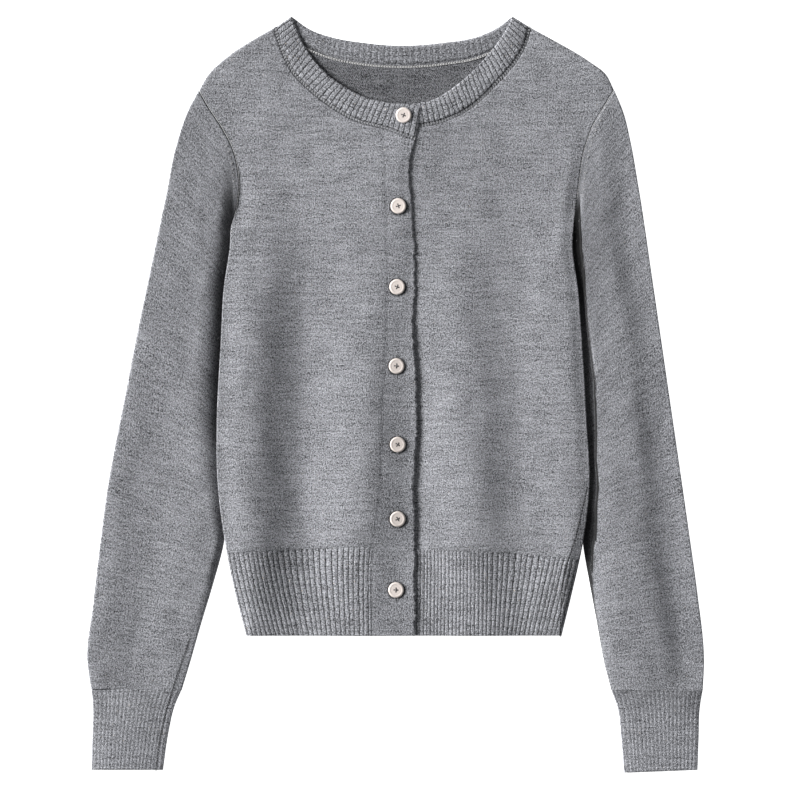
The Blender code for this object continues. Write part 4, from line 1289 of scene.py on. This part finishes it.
def tubeShell(name, place, us, vs, topAt, wall, uvAt, materials, endRound, roundAt, attributesAt):
    # a flattened tube open at both ends: an outer skin and a hollow, joined at the ends
    middle = sleeves["flatEdge"] / 2
    rings, uvs, extra = [], [], []
    for inset, inner in ((0.0, False), (wall, True)):
        ends = place(np.array([0.0, 1.0]), vs)
        width = np.linalg.norm(ends[:, 1] - ends[:, 0], axis=-1)[:, None]
        share = inset * sleeves["wallSpread"] / width.min()
        xy = place(share + (1 - 2 * share) * us, vs)
        d = np.minimum(us[None, :] * width, (1 - us[None, :]) * width)
        top, end = topAt(xy, us, vs), edgeDistances(xy)
        for side, radius in endRound.items():
            rounded = np.maximum(quarterRound(end[side], radius), sleeves["endHeight"])
            top = middle + (top - middle) * rounded
        high = middle + (top - inset - middle) * roundAt(us, vs, width)
        low = middle - (middle - inset) * quarterRound(d, sleeves["underRound"])
        upper, lower = (np.concatenate([xy, height[..., None]], axis=-1) for height in (high, low))
        rings.append(allRound(upper, lower))
        uvs.append(allRound(*[uvAt(us, vs, width, xy)] * 2))
        extra.append(attributesAt(us, vs, inner, xy))
    rows, around = rings[0].shape[:2]
    index = np.arange(rows * around).reshape(rows, around)
    closed = np.concatenate([index, index[:, :1]], axis=1)
    outer = gridQuads(closed)
    hollow = outer[:, ::-1] + rows * around
    rims = [np.stack([a, a + rows * around, b + rows * around, b], axis=-1)
            for a, b in ((closed[0, :-1], closed[0, 1:]), (closed[-1, 1:], closed[-1, :-1]))]
    points = np.concatenate([ring.reshape(-1, 3) for ring in rings])
    kinds = np.concatenate([np.zeros(len(outer)), np.ones(len(hollow)), np.zeros(len(rims[0]) * 2)])
    attributes = {label: np.concatenate([fields[label].ravel() for fields in extra]) for label in extra[0]}
    return meshObject(name, points, np.concatenate([outer, hollow, *rims]), gridQuads(index[:, : len(us)]),
                      np.concatenate([u.reshape(-1, 2) for u in uvs]), kinds, materials, attributes)


def allRound(upper, lower):  # one ring from an upper and a lower face over the same columns
    return np.concatenate([upper, lower[:, -2:0:-1]], axis=1)


def roundTheTube(fields, inside):  # only the upper face of the outer skin keeps them
    share = 0.0 if inside else 1.0
    return {label: allRound(values * share, 0.0 * values) for label, values in fields.items()}


def besideBody(side, xy, us):
    # how far each point lies from the body or from the sleeve's inner edge, and the dip's own sizes there
    x, y = xy[..., 0], xy[..., 1]
    width = np.linalg.norm(xy[:, -1] - xy[:, 0], axis=-1)[:, None]
    away = np.maximum(np.minimum(-insideBody(x, y), us[None, :] * width), 0.0)
    return (away, *(tableAt(sleeves["dip"][side], y, column) for column in (1, 2, 3, 4)))


def sleeveTop(side):
    rows = sleeves["heights"][side]
    start, finish = sleeves["dipShape"][side]

    def height(xy, us, vs):
        x, y = xy[..., 0], xy[..., 1]
        down, across = np.broadcast_to(vs[:, None], x.shape), np.broadcast_to(us[None, :], x.shape)
        levels = [columnCurve(rows, k)(down) for k in range(1, len(rows[0]))]
        at = [np.full(x.shape, float(share)) for share in sleeves["across"][side]]
        puff = acrossCurve(at, levels, across)
        if side == "left":
            centres, amounts = (tableAt(sleeves["fall"], down, column) for column in (1, 2))
            puff = puff + amounts * (0.5 - ease((across - centres) / sleeves["fallWidth"] + 0.5))
        away, share, flat, slope, _ = besideBody(side, xy, us)
        rise = np.clip((away - flat) / slope, 0.0, 1.0)
        low = (puff + sleeves["settle"]) * share * (1.0 - rise**start) ** finish
        size, shift, reach = sleeves["uneven"]
        top = sleeves["flatEdge"] + puff - low + size * clothUneven(x + shift, y) * ease(down / reach)
        return np.maximum(top, sleeves["thinnest"])

    return height


def sleeveRound(us, vs, width):  # flat out to the outer edge, softer where the inner one goes under the body
    inner, outer = us[None, :] * width, (1 - us[None, :]) * width
    soft, firm = quarterRound(inner, sleeves["innerRound"]), squareRound(inner, sleeves["edgeRound"])
    start, length = sleeves["freeInner"]
    width = soft + (firm - soft) * ease((vs[:, None] - start) / length)
    return width * squareRound(outer, sleeves["edgeRound"])


def cuffRound(us, vs, width):
    return squareRound(np.minimum(us[None, :] * width, (1 - us[None, :]) * width), sleeves["edgeRound"])


def sleeveSeams(side):
    lines = [(samples(armholeLine(side)), *plainLine)]
    return lines + ([(sideSeam["sleeve"], 0.0, 0.75)] if side == "right" else [])


def sleevePiece(side):
    rows = np.array(sleeves[side])
    outer, inner = linePath(rows[:, :2]), linePath(rows[:, 2:])
    top = armholeLine(side)
    shift = sleeves["armholeGap"] * (-1 if side == "right" else 1)

    def place(us, vs):
        end = straightLine(rows[-1, 2:], rows[-1, :2])
        return coonsPatch(lambda share: top(share) + (shift, 0.0), end, inner, outer, us, vs)

    low, high = sleeves["fineShares"]
    us = edgeShares(sleeves["columns"], sleeves["usualWidth"])
    us = np.concatenate([us[us < low], np.linspace(low, high, sleeves["fineColumns"]), us[us > high]])
    vs = edgeShares(sleeves["rows"], sleeves["usualLength"])

    def uvAt(us, vs, width, xy):
        along = xy[..., 1] * 0 + (1 - vs[:, None]) * sleeves["uvLength"]
        return np.stack([(us[None, :] - 0.5) * width, along], axis=-1)

    def fieldsAt(us, vs, inside, xy):
        y = xy[..., 1]
        away, share, flat, slope, width = besideBody(side, xy, us)
        if side == "left":
            dark, reach, strip = tableAt(sleeves["leftDark"], y), sleeves["leftReach"], 0.0
        else:
            (dark, reach), strip = sleeves["rightDark"], tableAt(sleeves["strip"], y)
        # painted shade on the sleeve beside and under the body's edge
        shade = dark * np.minimum(share * sleeves["shadeGain"], 1.0)
        shade = shade * (1.0 - ease((away - strip - width) / reach))
        shade = shade * ease((away - strip) / sleeves["shadeSoft"] + 1.0)
        if side == "left":
            # painted shade is made darker on the steep rise out of the gap and, lower down, on the free inner
            # edge, which face the light
            shade = shade * (1.0 + sleeves["wallShade"] * np.clip(2.0 * (away - flat) / slope, 0.0, 1.0))
            rimDark, rimReach = (tableAt(sleeves["rim"], vs[:, None], column) for column in (1, 2))
            rim = rimDark * (1.0 - ease(us[None, :] * sleeves["usualWidth"] / rimReach))
            shade = np.maximum(np.minimum(shade, sleeves["darkest"]), rim)
        return roundTheTube({**seamField(xy, sleeveSeams(side)), "crevice": np.maximum(shade, 0.0)}, inside)

    piece = tubeShell("sleeve_" + side + "_cloth", place, us, vs, sleeveTop(side), sleeves["wall"], uvAt,
                      [jerseyKnit, jerseyPurl], {"low": 1.5}, sleeveRound, fieldsAt)
    width, length, area = sleeves["flat"][side]
    addPiece(piece, "jersey", "sleeve_" + side, flat=(width, length), area=area, rests_on=["floor"])


def cuffPiece(side):
    rows = np.array(sleeves["cuffRight" if side == "right" else "cuffLeft"])
    outer, inner = linePath(rows[:, :2]), linePath(rows[:, 2:])
    ribs = sleeves["cuffRibs"][side]
    us, vs = ribShares(*ribs), edgeShares(sleeves["cuffRows"], sleeves["cuffLength"])

    def place(us, vs):
        start, end = (straightLine(row[2:], row[:2]) for row in (rows[0], rows[-1]))
        return coonsPatch(start, end, inner, outer, us, vs)

    def topAt(xy, us, vs):
        rise = np.sin(math.pi * us)[None, :] ** 0.7
        uneven = sleeves["cuffUneven"] * clothUneven(xy[..., 0], xy[..., 1])
        return sleeves["flatEdge"] + sleeves["cuffLift"] + sleeves["cuffPuff"] * rise + uneven

    def uvAt(us, vs, width, xy):
        return ribUv(np.broadcast_to(ribPhases(us, *ribs), xy.shape[:2]), xy[..., 1])

    def fieldsAt(us, vs, inside, xy):
        distances = edgeDistances(xy)
        phase = np.broadcast_to(ribPhases(us, *ribs), xy.shape[:2])
        fade = ribFade(distances["low"], distances["high"])
        atSide = ease(np.minimum(us, 1 - us) * sleeves["cuffEdge"])
        fade = fade * atSide[None, :] * (0.0 if inside else 1.0)
        # painted shade at the cuff's top, under the end of the sleeve
        shade = sleeves["cuffShade"][side] * (1.0 - ease(distances["low"] / sleeves["cuffFade"]))
        return {"ribPhase": allRound(phase, phase), "ribWeight": allRound(-fade, 0.6 * fade),
                **roundTheTube({**seamField(xy, sleeveSeams(side)[1:]), "crevice": shade}, inside)}

    materials = [cuffRib, ribInside]
    piece = tubeShell("cuff_" + side + "_rib", place, us, vs, topAt, sleeves["cuffWall"], uvAt, materials,
                      {"high": 1.4}, cuffRound, fieldsAt)
    carve(piece, sleeves["cuffDepth"], materials)
    addPiece(piece, "rib", "cuff_" + side, flat=(0.14, 0.071), rests_on=["floor"])


for side in ("left", "right"):
    sleevePiece(side)
    cuffPiece(side)
print("stage: sleeves and cuffs made")


# Linked seams and stitches: Geometry Nodes set one stitch after another along a line

def finishTree(points, instance, turn, scale, material, socket):  # a painted mesh of instances on points
    tree = points.tree
    placed = addNode(tree, "GeometryNodeInstanceOnPoints",
                     {"Points": points, "Instance": instance, "Rotation": turn, "Scale": scale})
    real = addNode(tree, "GeometryNodeRealizeInstances", {0: placed})
    join(addNode(tree, "GeometryNodeSetMaterial", {"Geometry": real, "Material": material}), socket)


def aligned(vector, axis, turn=None, **settings):
    values = {"Vector": vector, **({"Rotation": turn} if turn else {})}
    return addNode(vector.tree, "FunctionNodeAlignRotationToVector", values, axis=axis, **settings)


def randomVector(tree, least, most, seed):
    ends = {0: least, 1: most, "Seed": seed}
    return addNode(tree, "FunctionNodeRandomValue", ends, data_type="FLOAT_VECTOR")


def makeStitchTree():
    tree, given, end = newGroup("linkedStitches", "GeometryNodeTree",
                                {"Geometry": "Geometry", "Pitch": 0.0026, "Width": 0.0018, "Length": 0.0024,
                                 "Thickness": 0.0008, "Slant": 0.45, "Unevenness": 0.15, "Seed": 1,
                                 "Material": "Material"}, {"Geometry": "Geometry"})
    path = addNode(tree, "GeometryNodeMeshToCurve", {0: given["Geometry"]})
    points = addNode(tree, "GeometryNodeCurveToPoints", {"Curve": path, "Length": given["Pitch"]},
                     mode="LENGTH")
    ball = addNode(tree, "GeometryNodeMeshUVSphere", {"Segments": 6, "Rings": 4, "Radius": 0.5})
    stitch = addNode(tree, "GeometryNodeJoinGeometry")
    half = given["Width"] * 0.5
    size = addNode(tree, "ShaderNodeCombineXYZ", {0: given["Length"], 1: half, 2: given["Thickness"]})
    for side in (-1.0, 1.0):
        place = addNode(tree, "ShaderNodeCombineXYZ", {1: half * (0.5 * side)})
        turn = addNode(tree, "ShaderNodeCombineXYZ", {2: given["Slant"] * side})
        leg = {"Geometry": ball, "Translation": place, "Rotation": turn, "Scale": size}
        join(addNode(tree, "GeometryNodeTransform", leg), stitch.socket.node.inputs[0])
    along = aligned(points["Tangent"], "X", pivot_axis="Z")
    scale = randomVector(tree, given["Unevenness"] * -1.0 + 1.0, given["Unevenness"] + 1.0, given["Seed"])
    finishTree(points, stitch, along, scale, given["Material"], end[0])
    return tree


linkedStitches = makeStitchTree()


def heightsOn(pieces, xy):  # the heights of the cloth under each point
    bpy.context.view_layer.update()
    heights = []
    for x, y in xy:
        above, down = Vector((x, y, 100.0)) * mm, Vector((0, 0, -1))
        hits = [bpy.data.objects[name].ray_cast(above, down) for name in pieces]
        heights.append(max((place.z / mm for hit, place, _, _ in hits if hit), default=np.nan))
    heights = np.array(heights)
    known = ~np.isnan(heights)
    return np.interp(np.arange(len(heights)), np.flatnonzero(known), heights[known])


stitches = {
    # pitch, width, length, thickness, slant, unevenness, colour
    "neck": (2.5, 1.9, 2.5, 1.0, 0.42, 0.14, linkingYarn),
    "backNeck": (2.3, 2.0, 3.0, 1.1, 0.25, 0.12, paleYarn),
    "mark": (4.6, 0.9, 2.2, 0.7, 0.9, 0.3, paleYarn),
    "side": (2.3, 1.2, 1.9, 0.6, 0.35, 0.25, sideYarn),
    "holeEdge": (0.75, 1.5, 0.62, 0.8, 1.5, 0.2, linkingYarn),
    # the slit's near-black stitches are painted shade of the gap
    "holeSlit": (0.8, 0.9, 1.3, 0.5, 0.1, 0.2, darkYarn),
}


def stitchRow(name, xy, pieces, slot, lift, kind, seed):
    points = np.column_stack([xy, heightsOn(pieces, xy) + lift]) * mm
    row = showMesh(name, points.tolist(), [(k, k + 1) for k in range(len(points) - 1)], [])
    *sizes, slant, uneven, material = stitches[kind]
    sizes = {label: size * mm for label, size in zip(("Pitch", "Width", "Length", "Thickness"), sizes)}
    applyTree(row, linkedStitches, {**sizes, "Slant": slant, "Unevenness": uneven, "Seed": seed,
                                    "Material": material})
    row.data.shade_smooth()
    addPiece(row, slot)


for side in ("right", "left"):
    on = ["front_" + side + "_cloth", "neckband_" + side + "_rib"] + ["band_right_knit"] * (side == "right")
    stitchRow("neck_linking_" + side, samples(neckLines(side)[0], 120), on, "rib", 0.3, "neck", 3)
backSeam = samples(neckLines("back")[0], 120) + (0.0, -1.6)
backSeam = backSeam[(backSeam[:, 0] > -84.0) & (backSeam[:, 0] < 90.0)]
stitchRow("neck_linking_back", backSeam, ["back_cloth"], "rib", 0.4, "backNeck", 4)
# shares along the armhole, and how far out
armholeMarks = {"right": (0.18, 0.5, -4.5), "left": (0.12, 0.72, 4.5)}
for side, (start, end, out) in armholeMarks.items():
    marks = armholeLine(side)(np.linspace(start, end, 40)) + (out, 0.0)
    stitchRow("armhole_marks_" + side, marks, ["sleeve_" + side + "_cloth"], "jersey", 0.1, "mark", 5)
stitchRow("side_seam_left", sideSeamLine(), ["front_left_cloth", "hem_left_rib"], "jersey", -0.3, "side", 6)
stitchRow("sleeve_seam_right", samples(linePath(sideSeam["sleeve"])),
          ["sleeve_right_cloth", "cuff_right_rib"], "jersey", -0.1, "side", 7)

buttonholes = {
    "length": 15.0, "halfWidth": 0.95, "slitInset": 0.8,
    "shift": [1.0, 0.6, 0.8, 2.6, 0.4, 0.6, -2.8],  # how far each slit's middle lies above its button's
}
for number, ((x, y), shift) in enumerate(zip(buttonPlaces, buttonholes["shift"]), start=1):
    around = np.linspace(0.0, tau, 49)
    half = buttonholes["length"] / 2
    across = np.sign(np.cos(around)) * np.abs(np.cos(around)) ** 0.4
    loop = np.column_stack([x + buttonholes["halfWidth"] * across, y + shift + half * np.sin(around)])
    reach = half - buttonholes["slitInset"]
    slit = np.column_stack([np.full(12, x), np.linspace(y + shift - reach, y + shift + reach, 12)])
    on = ["band_right_knit"] if number > 1 else ["band_right_knit", "neckband_right_rib"]
    stitchRow(f"buttonhole_{number}_edge", loop, on, "band_knit", 0.0, "holeEdge", 10 + number)
    stitchRow(f"buttonhole_{number}_slit", slit, on, "band_knit", 0.1, "holeSlit", 20 + number)
print("stage: seams and buttonholes stitched")


# Buttons

button = {
    "segments": 48,
    # radius, height: a nearly flat face, a fine groove, a broad gently crowned rim and the underside
    "profile": [(0.0, 1.72), (2.0, 1.74), (3.5, 1.8), (3.9, 1.8), (4.15, 1.74), (4.4, 1.8), (4.8, 1.88),
                (5.4, 1.92), (5.9, 1.86), (6.3, 1.66), (6.6, 1.35), (6.72, 0.95), (6.5, 0.5),
                (6.0, 0.2), (4.8, 0.0), (0.0, 0.0)],
    "holeOffset": 1.15,
    "holeRadius": 0.62,
    "sink": 0.35,
    "turns": [0.4, 1.1, 2.0, 0.7, 0.2, 1.3, 0.75],
    "threadLength": 3.9,
    "threadWidth": 0.72,
    "threadHeight": 1.76,
    "tiltShare": 0.08,
}


def ringPoints(radius, height, count, centre=(0.0, 0.0)):
    around = np.linspace(0, tau, count, endpoint=False)
    return [(centre[0] + radius * math.cos(a), centre[1] + radius * math.sin(a), height) for a in around]


def ringFaces(low, high, count):
    return [(low + k, low + (k + 1) % count, high + (k + 1) % count, high + k) for k in range(count)]


def makeButtonMesh():
    count, profile = button["segments"], button["profile"]
    points, faces = [(0.0, 0.0, profile[0][1])], []
    for radius, height in profile[1:-1]:
        if len(points) > 1:
            faces += ringFaces(len(points), len(points) - count, count)
        points += ringPoints(radius, height, count)
    last = len(points) - count
    points.append((0.0, 0.0, profile[-1][1]))
    for k in range(count):
        after = (k + 1) % count
        faces += [(0, 1 + k, 1 + after), (len(points) - 1, last + after, last + k)]
    blank = showMesh("buttonBlank", points, [], faces)
    cutterPoints, cutterFaces = [], []
    for x in (-1, 1):
        for y in (-1, 1):
            start, centre = len(cutterPoints), (x * button["holeOffset"], y * button["holeOffset"])
            for height in (-2.0, 5.0):
                cutterPoints += ringPoints(button["holeRadius"], height, 12, centre)
            cutterFaces += [tuple(range(start + 11, start - 1, -1)), tuple(range(start + 12, start + 24))]
            cutterFaces += ringFaces(start, start + 12, 12)
    cutter = showMesh("holeCutter", cutterPoints, [], cutterFaces)
    cut = blank.modifiers.new("holes", "BOOLEAN")
    cut.operation = "DIFFERENCE"
    cut.object = cutter
    graph = bpy.context.evaluated_depsgraph_get()
    result = bpy.data.meshes.new_from_object(blank.evaluated_get(graph))
    bpy.data.objects.remove(blank)
    bpy.data.objects.remove(cutter)
    return result


def makeThreadMesh():  # a cross of two bundles of thread from hole to hole
    form = bmesh.new()
    half, thick = button["threadLength"] / 2, button["threadWidth"] / 2
    for turn in (45.0, -45.0):
        for offset in (-0.45, 0.45):
            place = (Matrix.Rotation(math.radians(turn), 4, "Z")
                     @ Matrix.Translation((0, offset * thick, button["threadHeight"]))
                     @ Matrix.Diagonal((half, thick * 0.62, thick * 0.8, 1.0)))
            bmesh.ops.create_uvsphere(form, u_segments=8, v_segments=6, radius=1.0, matrix=place)
    mesh = bpy.data.meshes.new("buttonThread")
    form.to_mesh(mesh)
    form.free()
    return mesh


def placeOnBand(source, name, place, turn, tilt, level, material, node=None):
    mesh = source.copy()
    points = np.empty(len(mesh.vertices) * 3)
    mesh.vertices.foreach_get("co", points)
    points = points.reshape(-1, 3) @ np.array(Matrix.Rotation(turn, 3, "Z").transposed())
    points[:, 2] += tilt * points[:, 0] + level
    points[:, :2] += place
    mesh.vertices.foreach_set("co", (points * mm).ravel())
    mesh.materials.clear()
    mesh.materials.append(material)
    mesh.shade_smooth()
    mesh.set_sharp_from_angle(angle=math.radians(50))
    addPiece(show(name, mesh), "button", node)


buttonBlank, buttonThread = makeButtonMesh(), makeThreadMesh()
for number, ((x, y), turn) in enumerate(zip(buttonPlaces, button["turns"]), start=1):
    ring = [point[:2] for reach in (2.0, 4.5) for point in ringPoints(reach, 0.0, 16, (x, y))]
    level = float(heightsOn(["band_right_knit", "neckband_right_rib"], ring).mean()) - button["sink"]
    left, right = underRightFront(np.array([x - 5.0, x + 5.0]), np.array([y, y]))
    seat = ((x, y), turn, float(right - left) * button["tiltShare"], level)
    placeOnBand(buttonBlank, f"button_{number}_disc", *seat, buttonIvory, f"button_{number}")
    placeOnBand(buttonThread, f"button_{number}_thread", *seat, sewingThread)
print("stage: buttons made")


# Fuzz: Geometry Nodes scatter short loose fibres over the cloth

def makeFuzzTree():
    tree, given, end = newGroup("scatterFuzz", "GeometryNodeTree",
                                {"Geometry": "Geometry", "Density": 50000.0, "Length": 0.0016,
                                 "Thickness": 0.00003, "Lowest": 0.004, "Seed": 1, "Material": "Material"},
                                {"Geometry": "Geometry"})
    upwards = separated(addNode(tree, "GeometryNodeInputNormal"))[2]
    level = separated(addNode(tree, "GeometryNodeInputPosition"))[2]
    isTop, isHigh = (addNode(tree, "FunctionNodeCompare", {0: value, 1: least}, operation="GREATER_THAN")
                     for value, least in ((upwards, 0.3), (level, given["Lowest"])))
    chosen = addNode(tree, "FunctionNodeBooleanMath", {0: isTop, 1: isHigh}, operation="AND")
    points = addNode(tree, "GeometryNodeDistributePointsOnFaces",
                     {"Mesh": given["Geometry"], "Selection": chosen, "Density": given["Density"],
                      "Seed": given["Seed"]})
    length = given["Length"]
    middle = addNode(tree, "ShaderNodeCombineXYZ", {0: length * 0.45, 2: length * 0.4})
    tip = addNode(tree, "ShaderNodeCombineXYZ", {0: length, 1: length * 0.3, 2: length * 0.12})
    line = addNode(tree, "GeometryNodeCurveQuadraticBezier", {"Resolution": 3, "Start": (0.0, 0.0, 0.0),
                                                              "Middle": middle, "End": tip})
    section = addNode(tree, "GeometryNodeCurvePrimitiveCircle",
                      {"Resolution": 3, "Radius": given["Thickness"]})
    fibre = addNode(tree, "GeometryNodeCurveToMesh",
                    {"Curve": line, "Profile Curve": section, "Fill Caps": True})
    way = randomVector(tree, (-1.0, -1.0, 0.0), (1.0, 1.0, 0.0), given["Seed"])
    stood = aligned(points["Normal"], "Z", aligned(way, "X", pivot_axis="Z"))
    scale = randomVector(tree, (0.5, 0.7, 0.4), (1.6, 1.3, 1.5), 2)
    finishTree(points, fibre, stood, scale, given["Material"], end[0])
    return tree


scatterFuzz = makeFuzzTree()
# fibres to a square metre, and their size
fuzz = {"Density": 20000.0, "Length": 2.3 * mm, "Thickness": 0.045 * mm, "Lowest": 4.0 * mm}
for seed, name in enumerate(("front_left", "front_right", "sleeve_left", "sleeve_right")):
    nap = show(name + "_fuzz", bpy.data.objects[name + "_cloth"].data)
    addPiece(applyTree(nap, scatterFuzz, {**fuzz, "Seed": seed, "Material": fuzzYarn}), "jersey")
print("stage: fuzz scattered")
